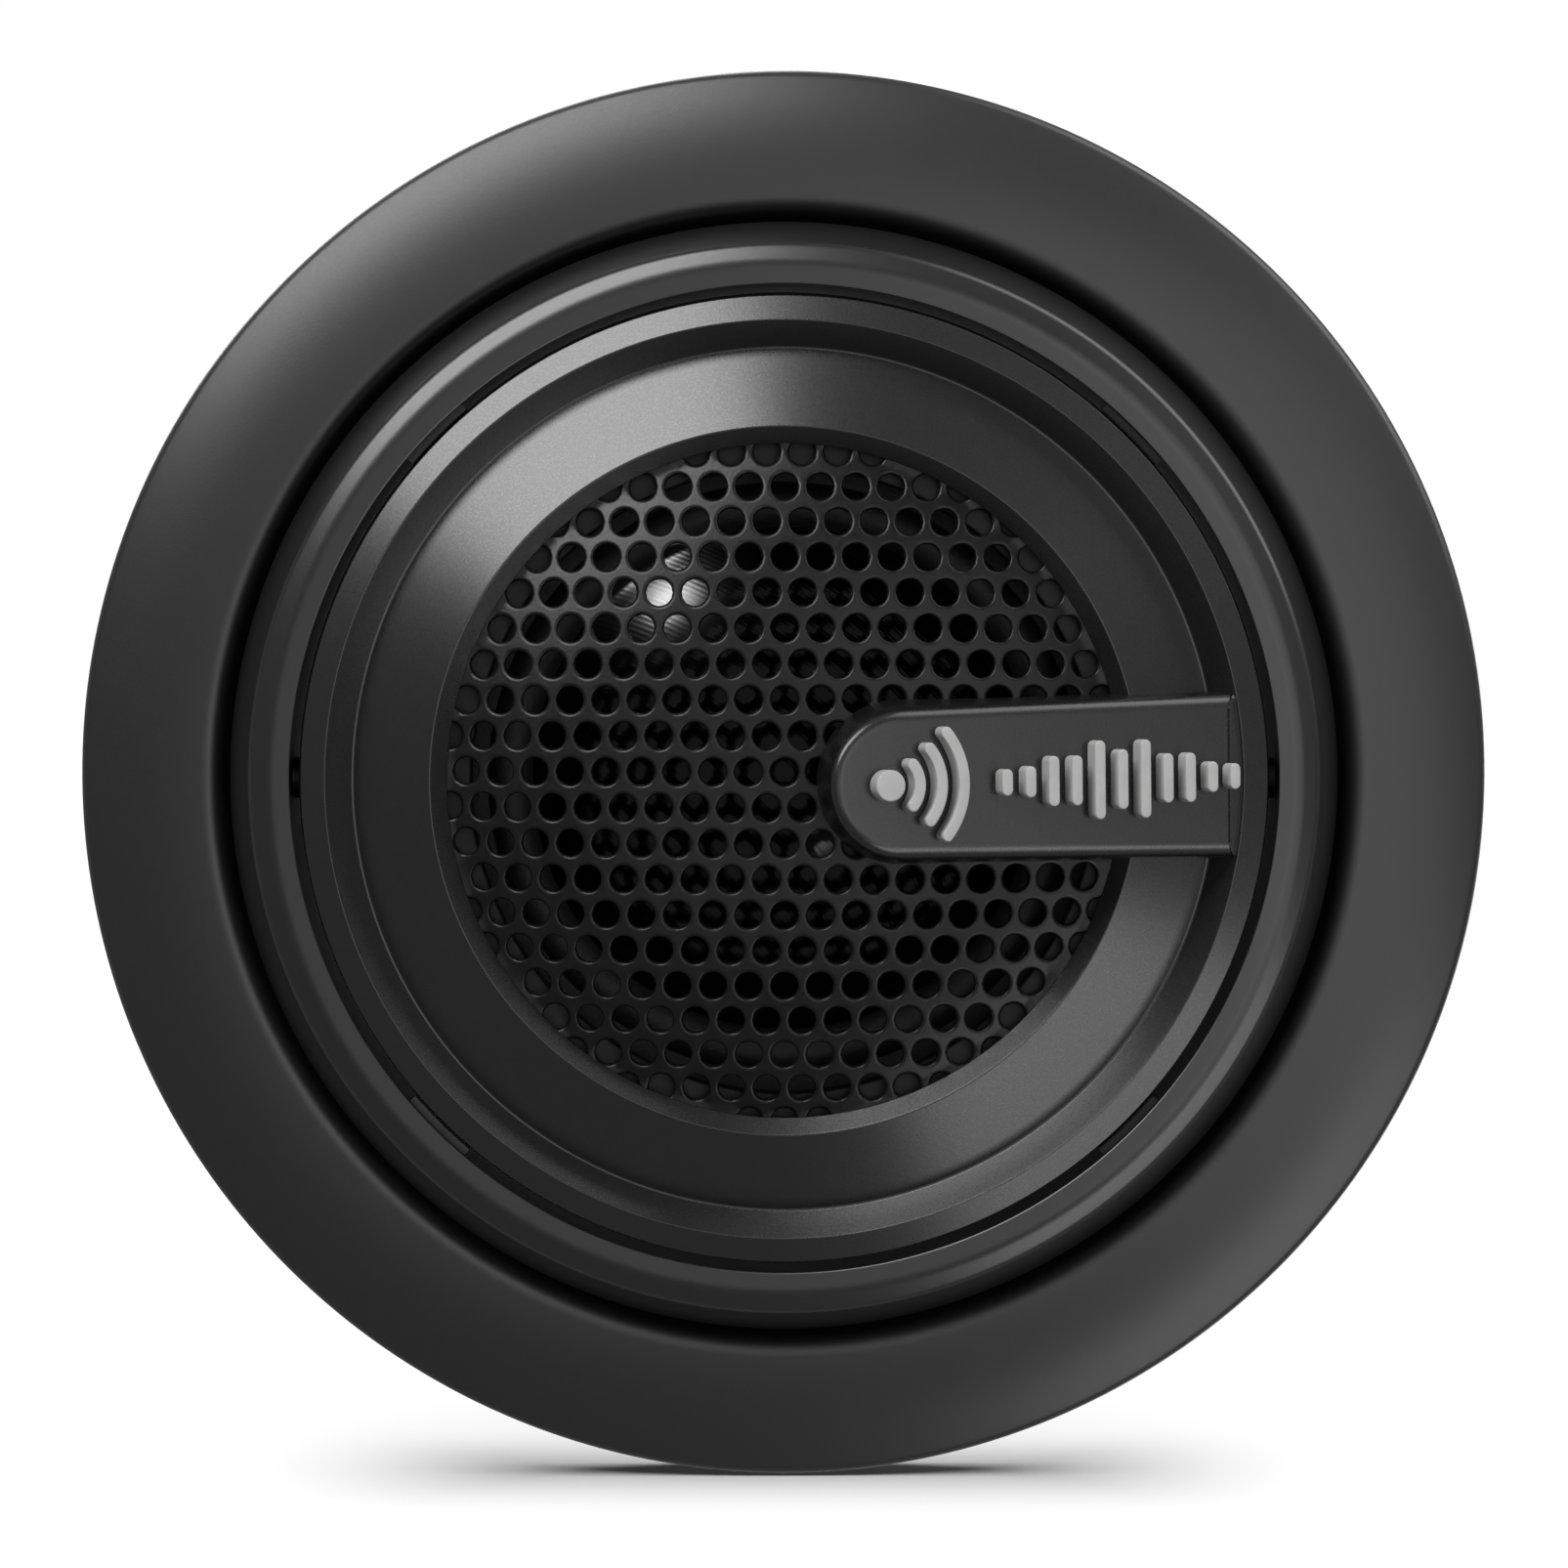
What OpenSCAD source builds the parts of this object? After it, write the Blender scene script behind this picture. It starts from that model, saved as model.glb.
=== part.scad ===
// Flush-mount swivel car tweeter. It is built face up around +Z, and facing() turns it to face -Y.
// Every profile is [radius, height], with height 0 at the panel face.

/* [Flange and neck] */
// Outer diameter of the flange
flange_d = 54; // [52:0.5:56]
// Height of the flange's crown above the panel
crown_h = 2.5; // [2.3:0.1:2.7]
// Diameter of the neck that goes through the panel
neck_d = 45; // [45:0.1:45.4]
// Diameter over the neck's thread
thread_d = 44; // [43.8:0.1:44]
// Depth of the neck behind the panel
neck_depth = 11; // [10:0.5:12]
// Bore of the neck, where the collar turns
neck_bore_d = 40; // [40:0.02:40.04]
// Thickness of panel that the nut is shown clamping
panel_t = 3; // [2:0.5:5]

/* [Swivel] */
// Radius of the ball that the capsule turns on
ball_r = 18.4; // [18.2:0.05:18.4]
// Height of the ball's centre above the panel
ball_h = 1; // [0.8:0.1:1.2]
// Gap between the ball and its socket
socket_gap = 0.39; // [0.35:0.01:0.4]
// Diameter of each trunnion pin
pin_d = 1.6; // [1.4:0.1:1.8]

/* [Face] */
// Height of the flat front land of collar and face ring
land_h = 5.25; // [5.2:0.05:5.3]
// Radius of the face ring's outer crest
outer_crest_r = 16.95; // [16.8:0.05:17]
// Height of the outer crest
outer_crest_h = 5.7; // [5.6:0.05:5.8]
// Radius of the face ring's inner crest
inner_crest_r = 13.01; // [12.9:0.01:13.1]
// Height of the inner crest
inner_crest_h = 6.3; // [6.2:0.05:6.4]

/* [Grille] */
// Height of the middle of the domed grille
grille_top_h = 7.9; // [7.6:0.05:8]
// Thickness of the grille sheet
grille_t = 0.5; // [0.4:0.05:0.5]
// Diameter of each hole
hole_d = 0.98; // [0.8:0.02:1]
// Distance between holes in a row, and between rows
hole_pitch = 1.3; // [1.3:0.05:1.6]

/* [Badge bar] */
// Width of the bar at its foot
bar_w = 6.14; // [5.6:0.02:6.4]
// Distance from the axis to the bar's round end
bar_start = 1.07; // [1:0.01:2]
// Slope of the bar's face, its round end standing higher
bar_tilt = 21; // [20:0.5:22]
// Height of the raised mark
mark_t = 0.6; // [0.4:0.05:0.8]

/* [Motor] */
// Radius of the voice coil's former
coil_r = 9.5; // [9.4:0.05:9.5]
// Radius of curvature of the dome
dome_r = 14.6; // [14:0.1:16]
// Outer radius of the magnet's steel cup
yoke_r = 12.2; // [12:0.1:12.3]

/* [Hidden] */

$fn = 96;
eps = 0.01;

// Flange section
flange_r = flange_d / 2;
crown_r = 20.9;
crown_curve = 15;
edge_curve = 0.6;
roll_curve = 0.7;
recess_r = 21.35;
recess_h = 0.3;
gasket_t = 0.8;
rim_w = 0.6;
gasket_inset = 1;
gasket_margin = 0.2;
neck_r = neck_d / 2;
thread_r = thread_d / 2;
bore_r = neck_bore_d / 2;
shoulder_h = -2;
snap_seat_h = -6;
snap_seat_r = 20.6;
thread_chamfer = 0.4;

// Keyways that stop the clamp washer turning
key_w = 3;
key_floor_r = 21.3;
key_gap = 0.2;

// Washer and nut
washer_t = 1;
washer_r = 26;
washer_play = 0.3;
nut_t = 4;
nut_gap = 0.08;
washer_gap = 0.05;
nut_lip_t = 1.2;
nut_body_r = 24.4;
grip_r = 1.1;
grip_count = 24;

// Collar section
socket_r = ball_r + socket_gap;
turn_play = 0.05;
collar_r = bore_r - turn_play;
lip_r = 21;
lip_h = 0.4;
foot_h = 2.6;
shoulder_curve = 1.15;
shoulder_r = 18.97;
shoulder_slope = 26.6;
collar_end_h = -7.6;
groove_r = 19.3;
groove_top_h = -6.05;
groove_end_h = -6.85;
snap_t = 0.7;
snap_r = 20.45;
snap_play = 0.05;
snap_opening = 3;
snap_cut = 4;

// Trunnions and friction pads
pin_start = 17;
pin_end = 19.6;
pin_play = 0.06;
pad_angle = 9;
pad_count = 4;
pad_play = 0.05;
pad_r = 19.1;
pad_low_h = 3;
pad_high_h = 4.9;

// Capsule shell
shell_split_h = 4.6;
shell_bore_r = 16.8;
ledge_h = -3.6;
ball_end_h = -4.5;
tail_r = 15.2;
tail_top_h = -6.6;
tail_end_h = -12.2;
tail_bore_r = 13.7;
boss_r = 1.7;
boss_place_r = 12.3;
boss_count = 3;

// Face ring
valley_r = 16.03;
valley_h = 4.85;
grille_edge_r = 12.43;
grille_edge_h = inner_crest_h - 0.5;
face_play = 0.05;
grille_seat_h = 5.75;
seat_r = 13.5;
web_h = 4.2;
spigot_r = 16;
frame_top_h = 2.2;

// Grille
dome_edge_r = 12.2;
rim_r = 13.4;
retainer_r = 11.6;
retainer_end_h = 4.4;
grille_rise = grille_top_h - grille_seat_h;
grille_curve = (dome_edge_r * dome_edge_r + grille_rise * grille_rise) / (2 * grille_rise);
hole_offset = 0.42;
hole_rows = 10;
rim_lap = 0.6;

// Badge bar
bar_end_h = 5.8;
bar_top_h = bar_end_h + outer_crest_r * tan(bar_tilt);
bar_turn = 0.8;
bar_length = (outer_crest_r - bar_start) / cos(bar_tilt);
bar_round_r = bar_w / 2;
bar_play = 0.04;
mark_stroke = 0.42;
mark_dot_r = 0.55;
mark_dot_x = 2.6;
mark_arc_step = 0.85;
mark_arc_angle = 40;
mark_arc_count = 3;
mark_arc_reach = 9;
mark_bar_x = 7.1;
mark_bar_step = 0.92;
mark_bar_count = 11;
mark_bar_min = 0.9;
mark_bar_rise = 2.1;

// Moving assembly and motor
dome_base_h = 2.1;
dome_t = 0.15;
former_t = 0.1;
former_top_h = 1.94;
former_end_h = -1.6;
winding_r = 9.85;
winding_top_h = 0.5;
winding_end_h = -1.3;
roll_r = 0.8;
roll_t = 0.2;
roll_centre_r = 10.36;
surround_r = 12.2;
frame_hole_r = 10.3;
frame_plate_h = 1;
frame_r = 16.7;
frame_wall = 1;
yoke_bore_r = 10.1;
yoke_floor_h = -5.6;
yoke_end_h = -7.6;
magnet_r = 8.9;
pole_r = 9.2;
pole_low_h = -1.4;
pole_top_h = 0.6;
felt_r = 7.6;
felt_t = 0.8;
lead_place_r = 12.95;
lead_r = 0.3;
tinsel_r = 0.15;
tinsel_h = 1.95;
tinsel_gap = 0.03;
lead_angles = [60, 120];
slot_w = 1.2;
slot_floor_h = 1.6;
lead_hole_r = 0.5;

// Rear chamber
board_r = 13.4;
board_top_h = -8.4;
board_t = 1;
boss_top_h = board_top_h - board_t;
tab_place = 3.2;
tab_w = 2.8;
tab_t = 0.8;
tab_len = 1.8;
cover_r = 14.35;
cover_t = 1.5;
cover_spigot_r = 13.6;
cover_spigot_t = 0.8;
screw_r = 0.8;
screw_head_r = 1.4;
screw_head_t = 0.8;
screw_len = 3;
screw_play = 0.1;
screw_squeeze = 0.02;
drive_w = 0.3;
drive_len = 1.8;
drive_depth = 0.45;
gland_place = -7.5;
gland_bore_r = 1.5;
gland_neck_r = 2.4;
gland_flange_r = 3.3;
gland_flange_t = 1;
gland_tail = 2;
gland_neck_extra = 0.4;
gland_tail_r = 2.7;

function on_arc(centre, radius, angle) = centre + radius * [cos(angle), sin(angle)];
function arc(centre, radius, from, to, steps = 12) =
    [for (i = [0:steps]) on_arc(centre, radius, from + (to - from) * i / steps)];
// Angle above the ball's equator at which a sphere about its centre has height h
function sphere_angle(radius, h) = asin((h - ball_h) / radius);

module facing() {
    rotate([90, 0, 0])
        children();
}

module turned(profile) {
    rotate_extrude()
        polygon(profile);
}

module ring(inner, outer, low, high) {
    translate([0, 0, low])
        linear_extrude(high - low)
            difference() {
                circle(outer);
                circle(inner);
            }
}

module disc(radius, low, high) {
    translate([0, 0, low])
        cylinder(r = radius, h = high - low);
}

// Flush flange whose neck passes through the panel
module mounting_flange() {
    crown = [crown_r, crown_h - crown_curve];
    roll = [recess_r + roll_curve,
        crown[1] + sqrt(pow(crown_curve - roll_curve, 2) - pow(crown_r - recess_r - roll_curve, 2))];
    edge = [flange_r - edge_curve,
        crown[1] + sqrt(pow(crown_curve - edge_curve, 2) - pow(flange_r - edge_curve - crown_r, 2))];
    roll_angle = atan2(roll[1] - crown[1], roll[0] - crown[0]);
    edge_angle = atan2(edge[1] - crown[1], edge[0] - crown[0]);
    color("#3a3a3b")
        facing()
            difference() {
                turned(concat(
                    [[bore_r, snap_seat_h], [bore_r, recess_h], [recess_r, recess_h]],
                    arc(roll, roll_curve, 180, roll_angle, 8),
                    arc(crown, crown_curve, roll_angle, edge_angle, 24),
                    arc(edge, edge_curve, edge_angle, 0, 8),
                    [[flange_r, 0], [flange_r - rim_w, 0], [flange_r - rim_w, gasket_t],
                        [neck_r, gasket_t], [neck_r, shoulder_h], [thread_r, shoulder_h],
                        [thread_r, thread_chamfer - neck_depth],
                        [thread_r - thread_chamfer, -neck_depth],
                        [snap_seat_r, -neck_depth], [snap_seat_r, snap_seat_h]]));
                for (side = [0, 180])
                    rotate(side)
                        translate([key_floor_r, -key_w / 2, -neck_depth - eps])
                            cube([neck_r, key_w, neck_depth + shoulder_h + eps]);
            }
}

// Foam ring that seals the flange to the panel
module panel_gasket() {
    color("#1b1b1c")
        facing()
            ring(neck_r + gasket_inset, flange_r - rim_w - gasket_margin, 0, gasket_t);
}

// Steel washer whose two tongues slide in the neck's keyways
module clamp_washer() {
    color("silver")
        facing()
            translate([0, 0, -panel_t - washer_t])
                linear_extrude(washer_t)
                    difference() {
                        circle(washer_r);
                        difference() {
                            circle(thread_r + washer_play);
                            for (side = [0, 180])
                                rotate(side)
                                    translate([key_floor_r + key_gap, key_gap - key_w / 2])
                                        square([washer_r, key_w - 2 * key_gap]);
                        }
                    }
}

// Plastic nut with grip ribs
module ring_nut() {
    top_h = -panel_t - washer_t - washer_gap;
    color("#232324")
        facing()
            translate([0, 0, top_h - nut_t]) {
                linear_extrude(nut_t)
                    difference() {
                        union() {
                            circle(nut_body_r);
                            for (i = [0:grip_count - 1])
                                rotate(360 / grip_count * i)
                                    translate([nut_body_r, 0])
                                        circle(grip_r, $fn = 24);
                        }
                        circle(thread_r + nut_gap);
                    }
                ring(thread_r + nut_gap, washer_r, nut_t - nut_lip_t, nut_t);
            }
}

// Ring that holds the capsule and turns in the neck
module swivel_collar() {
    fillet = [shoulder_r, land_h - shoulder_curve];
    color("#353536")
        facing()
            difference() {
                turned(concat(
                    [[socket_r, collar_end_h]],
                    arc([0, ball_h], socket_r, 0, sphere_angle(socket_r, land_h), 10),
                    arc(fillet, shoulder_curve, 90, shoulder_slope, 8),
                    [[lip_r, foot_h], [lip_r, lip_h], [collar_r, lip_h],
                        [collar_r, groove_top_h], [groove_r, groove_top_h],
                        [groove_r, groove_end_h], [collar_r, groove_end_h],
                        [collar_r, collar_end_h]]));
                trunnion_line(pin_end, pin_d / 2);
                pad_places()
                    pad();
            }
}

// Both trunnions' holes or pins, along X through the ball's centre
module trunnion_line(reach, radius) {
    translate([-reach, 0, ball_h])
        rotate([0, 90, 0])
            cylinder(r = radius, h = 2 * reach, $fn = 48);
}

module pad_places() {
    for (i = [0:pad_count - 1])
        rotate(360 / pad_count * (i + 0.5) - pad_angle / 2)
            children();
}

module pad() {
    face_r = ball_r + pad_play;
    rotate_extrude(angle = pad_angle)
        polygon(concat(
            arc([0, ball_h], face_r, sphere_angle(face_r, pad_low_h),
                sphere_angle(face_r, pad_high_h), 4),
            [[pad_r, pad_high_h], [pad_r, pad_low_h]]));
}

// Spring ring that keeps the collar in the neck
module collar_snap_ring() {
    color("gray")
        facing()
            difference() {
                ring(groove_r + snap_play, snap_r, groove_top_h - snap_play - snap_t,
                    groove_top_h - snap_play);
                translate([-snap_opening / 2, -snap_r - eps, groove_end_h - eps])
                    cube([snap_opening, snap_cut, snap_cut]);
            }
}

module trunnion_pins() {
    color("silver")
        facing()
            for (side = [0, 180])
                rotate(side)
                    translate([pin_start, 0, ball_h])
                        rotate([0, 90, 0])
                            cylinder(d = pin_d, h = pin_end - pin_start, $fn = 48);
}

// Slippery pads that the ball rubs on, so it stays where it is aimed
module friction_pads() {
    color("#101010")
        facing()
            pad_places()
                pad();
}

// Ball-shaped housing of the tweeter capsule
module capsule_shell() {
    color("#2c2c2d")
        facing()
            difference() {
                union() {
                    turned(concat(
                        [[shell_bore_r, ledge_h], [shell_bore_r, shell_split_h]],
                        arc([0, ball_h], ball_r, sphere_angle(ball_r, shell_split_h),
                            sphere_angle(ball_r, ball_end_h), 14),
                        [[tail_r, tail_top_h], [tail_r, tail_end_h],
                            [tail_bore_r, tail_end_h], [tail_bore_r, ledge_h]]));
                    for (i = [0:boss_count - 1])
                        rotate(360 / boss_count * i + 90)
                            translate([boss_place_r, 0, tail_end_h + cover_spigot_t])
                                boss();
                }
                trunnion_line(ball_r + 1, pin_d / 2 + pin_play);
                screw_places()
                    translate([0, 0, tail_end_h - cover_t - eps])
                        cylinder(r = screw_r, h = screw_len + cover_t, $fn = 32);
            }
}

module boss() {
    cylinder(r = boss_r, h = boss_top_h - tail_end_h - cover_spigot_t, $fn = 48);
}

module screw_places() {
    for (i = [0:boss_count - 1])
        rotate(360 / boss_count * i + 90)
            translate([boss_place_r, 0, 0])
                children();
}

// Front bezel: outer chamfer, valley, wide cone and the bevel round the grille
module face_ring() {
    color("#3c3c3d")
        facing()
            turned(concat(
                arc([0, ball_h], ball_r, sphere_angle(ball_r, shell_split_h),
                    sphere_angle(ball_r, land_h), 3),
                [[outer_crest_r, outer_crest_h], [valley_r, valley_h],
                    [inner_crest_r, inner_crest_h], [grille_edge_r, grille_edge_h],
                    [grille_edge_r, grille_seat_h], [seat_r, grille_seat_h], [seat_r, web_h],
                    [spigot_r, web_h], [spigot_r, frame_top_h],
                    [shell_bore_r - face_play, frame_top_h],
                    [shell_bore_r - face_play, shell_split_h]]));
}

// Domed sheet with staggered holes and a flat rim
module grille_mesh() {
    color("#262627")
        facing()
            difference() {
                union() {
                    difference() {
                        grille_dome(grille_curve, dome_edge_r);
                        grille_dome(grille_curve - grille_t, dome_edge_r + 1);
                    }
                    ring(dome_edge_r - rim_lap, rim_r, grille_seat_h - grille_t, grille_seat_h);
                }
                hole_places()
                    cylinder(d = hole_d, h = grille_top_h + 1, $fn = 24);
            }
}

// Part of a sphere above the rim's underside, out to a radius
module grille_dome(curve, limit_r) {
    intersection() {
        translate([0, 0, grille_top_h - grille_curve])
            sphere(curve, $fn = 240);
        disc(limit_r, grille_seat_h - grille_t, grille_top_h + 1);
    }
}

module hole_places() {
    for (row = [-hole_rows:hole_rows])
        for (column = [-hole_rows:hole_rows]) {
            x = (column + (row % 2 == 0 ? 0 : 0.5)) * hole_pitch;
            y = row * hole_pitch + hole_offset;
            if (norm([x, y]) < dome_edge_r - hole_d / 2)
                translate([x, y, 0])
                    children();
        }
}

// Push-in ring that clamps the grille's rim
module grille_retainer() {
    color("#202021")
        facing()
            ring(retainer_r, seat_r - face_play, retainer_end_h, grille_seat_h - grille_t);
}

// Moves a shape drawn in the plane of the bar's face, x measured from the bar's round end
module on_bar() {
    rotate(bar_turn)
        translate([outer_crest_r, 0, bar_end_h])
            rotate([0, bar_tilt, 0])
                translate([-bar_length, 0, 0])
                    children();
}

// Bar seen from the front: a round end, then straight sides
module bar_outline() {
    translate([bar_start + bar_round_r, 0])
        circle(bar_round_r);
    translate([bar_start + bar_round_r, -bar_round_r])
        square([outer_crest_r, bar_w]);
}

// Bar seen from the side: a wedge under the sloping face
module bar_side() {
    rotate([90, 0, 0])
        linear_extrude(bar_w + 1, center = true)
            polygon([[0, 0], [outer_crest_r, 0], [outer_crest_r, bar_end_h], [0, bar_top_h]]);
}

// Sloping bar from the grille's middle to the outer crest
module badge_bar() {
    centre = [0, grille_top_h - grille_curve];
    color("#3d3d3e")
        facing()
            difference() {
                rotate(bar_turn)
                    intersection() {
                        linear_extrude(bar_top_h)
                            bar_outline();
                        bar_side();
                        disc(outer_crest_r, 0, bar_top_h);
                    }
                turned(concat(
                    [[0, -1]],
                    arc(centre + [0, bar_play], grille_curve, 90, acos(grille_edge_r / grille_curve), 12),
                    [[grille_edge_r, grille_edge_h + bar_play],
                        [inner_crest_r, inner_crest_h + bar_play], [valley_r, valley_h + bar_play],
                        [outer_crest_r, outer_crest_h + bar_play],
                        [outer_crest_r + 1, outer_crest_h + bar_play], [outer_crest_r + 1, -1]]));
            }
}

// Plain sound mark: a dot with arcs, and a row of level bars
module badge_emblem() {
    color("#c4c4c4")
        facing()
            on_bar()
                linear_extrude(mark_t) {
                    translate([mark_dot_x, 0])
                        sound_mark();
                    for (i = [0:mark_bar_count - 1])
                        translate([mark_bar_x + mark_bar_step * i, 0])
                            level_bar(mark_bar_min
                                + mark_bar_rise * pow(sin(180 * (i + 0.5) / mark_bar_count), 2)
                                * (i % 2 == 0 ? 1 : 0.6));
                }
}

module sound_mark() {
    circle(mark_dot_r, $fn = 48);
    for (i = [1:mark_arc_count])
        intersection() {
            difference() {
                circle(mark_dot_r / 2 + mark_arc_step * i + mark_stroke / 2);
                circle(mark_dot_r / 2 + mark_arc_step * i - mark_stroke / 2);
            }
            polygon([[0, 0], on_arc([0, 0], mark_arc_reach, mark_arc_angle),
                on_arc([0, 0], mark_arc_reach, -mark_arc_angle)]);
        }
}

module level_bar(height) {
    straight = height - mark_stroke;
    translate([-mark_stroke / 2, -straight / 2])
        square([mark_stroke, straight]);
    for (side = [-1, 1])
        translate([0, side * straight / 2])
            circle(mark_stroke / 2, $fn = 32);
}

module dome_diaphragm() {
    top_h = dome_base_h + dome_r - sqrt(dome_r * dome_r - coil_r * coil_r);
    centre = [0, top_h - dome_r];
    color("#0c0c0d")
        facing()
            turned(concat(
                arc(centre, dome_r, 90, acos((coil_r + former_t / 2) / dome_r), 14),
                arc(centre, dome_r - dome_t, acos((coil_r - former_t / 2) / (dome_r - dome_t)), 90, 14)));
}

// Half-roll edge between the dome and the frame
module dome_surround() {
    centre = [roll_centre_r, frame_top_h];
    color("#141415")
        facing()
            turned(concat(
                arc(centre, roll_r, 180, 0, 12),
                [[surround_r, frame_top_h + roll_t], [surround_r, frame_top_h]],
                arc(centre, roll_r - roll_t, 0, 180, 12)));
}

module voice_coil_former() {
    color("#b8884a")
        facing()
            ring(coil_r - former_t / 2, coil_r + former_t / 2, former_end_h, former_top_h);
}

module voice_coil_winding() {
    color("#b5622c")
        facing()
            ring(coil_r + former_t / 2, winding_r, winding_end_h, winding_top_h);
}

// Fine flexible leads from the former to the frame
module coil_leads() {
    start = coil_r + former_t / 2 + tinsel_gap;
    color("#c79a4e")
        facing()
            for (angle = lead_angles)
                rotate(angle)
                    translate([start, 0, tinsel_h])
                        rotate([0, 90, 0])
                            cylinder(r = tinsel_r, h = lead_place_r - lead_r - start, $fn = 24);
}

// Frame that carries the surround in front and the magnet behind
module motor_frame() {
    color("#1e1e1f")
        facing()
            difference() {
                turned([[frame_hole_r, frame_plate_h], [frame_hole_r, frame_top_h],
                    [frame_r, frame_top_h], [frame_r, ledge_h], [frame_r - frame_wall, ledge_h],
                    [frame_r - frame_wall, frame_plate_h]]);
                for (angle = lead_angles)
                    rotate(angle) {
                        translate([frame_hole_r - 1, -slot_w / 2, slot_floor_h])
                            cube([lead_place_r - frame_hole_r + 1, slot_w, 2]);
                        translate([lead_place_r, 0, 0])
                            cylinder(r = lead_hole_r, h = 4, $fn = 32);
                    }
            }
}

// Steel cup that returns the magnet's field to the gap
module yoke_cup() {
    color("#8d8f91")
        facing()
            turned([[0, yoke_floor_h], [yoke_bore_r, yoke_floor_h], [yoke_bore_r, frame_plate_h],
                [yoke_r, frame_plate_h], [yoke_r, yoke_end_h], [0, yoke_end_h]]);
}

module magnet_disc() {
    color("#a9abad")
        facing()
            disc(magnet_r, yoke_floor_h, pole_low_h);
}

module pole_plate() {
    color("#909294")
        facing()
            disc(pole_r, pole_low_h, pole_top_h);
}

module damping_felt() {
    color("#4b4742")
        facing()
            disc(felt_r, pole_top_h, pole_top_h + felt_t);
}

// Wires from the frame to the terminal board
module inner_leads() {
    color("#7c1f1c")
        facing()
            for (angle = lead_angles)
                rotate(angle)
                    translate([lead_place_r, 0, board_top_h])
                        cylinder(r = lead_r, h = frame_top_h - board_top_h, $fn = 32);
}

module terminal_board() {
    color("#3d5a3a")
        facing()
            disc(board_r, board_top_h - board_t, board_top_h);
}

module terminal_tabs() {
    color("#c9a24a")
        facing()
            for (side = [-1, 1])
                translate([side * tab_place - tab_t / 2, -tab_w / 2, board_top_h - board_t - tab_len])
                    cube([tab_t, tab_w, tab_len]);
}

module rear_cover() {
    color("#2a2a2b")
        facing()
            difference() {
                union() {
                    disc(cover_r, tail_end_h - cover_t, tail_end_h);
                    disc(cover_spigot_r, tail_end_h - eps, tail_end_h + cover_spigot_t);
                }
                screw_places()
                    translate([0, 0, tail_end_h - cover_t - 1])
                        cylinder(r = screw_r + screw_play, h = 5, $fn = 32);
                screw_places()
                    translate([0, 0, tail_end_h - cover_t - 1])
                        cylinder(r = screw_head_r + screw_play, h = 1 + screw_head_t, $fn = 32);
                translate([0, gland_place, tail_end_h - cover_t - 1])
                    cylinder(r = gland_neck_r, h = 5, $fn = 48);
            }
}

module cover_screws() {
    color("silver")
        facing()
            screw_places()
                translate([0, 0, tail_end_h - cover_t])
                    difference() {
                        union() {
                            cylinder(r = screw_head_r, h = screw_head_t, $fn = 32);
                            cylinder(r = screw_r - screw_squeeze, h = screw_len, $fn = 32);
                        }
                        translate([0, 0, -eps])
                            for (turn = [0, 90])
                                rotate(turn)
                                    translate([-drive_len / 2, -drive_w / 2, 0])
                                        cube([drive_len, drive_w, drive_depth]);
                    }
}

// Rubber inlet for the cable, open right through
module cable_gland() {
    cover_back = tail_end_h - cover_t;
    color("#151516")
        facing()
            translate([0, gland_place, 0])
                difference() {
                    union() {
                        disc(gland_neck_r, cover_back - eps, tail_end_h + cover_spigot_t + gland_neck_extra);
                        disc(gland_flange_r, cover_back - gland_flange_t, cover_back);
                        disc(gland_tail_r, cover_back - gland_flange_t - gland_tail, cover_back);
                    }
                    disc(gland_bore_r, 2 * cover_back, 0);
                }
}

mounting_flange();
panel_gasket();
clamp_washer();
ring_nut();
swivel_collar();
collar_snap_ring();
trunnion_pins();
friction_pads();
capsule_shell();
face_ring();
grille_mesh();
grille_retainer();
badge_bar();
badge_emblem();
dome_diaphragm();
dome_surround();
voice_coil_former();
voice_coil_winding();
coil_leads();
motor_frame();
yoke_cup();
magnet_disc();
pole_plate();
damping_felt();
inner_leads();
terminal_board();
terminal_tabs();
rear_cover();
cover_screws();
cable_gland();
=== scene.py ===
"""Flush-mount swivel car tweeter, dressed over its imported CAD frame.

Sections are drawn as [radius, height] in mm, with height 0 at the panel face and rising towards the
listener. Local x, y and height become world X, Z and -Y.
"""

import math

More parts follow.
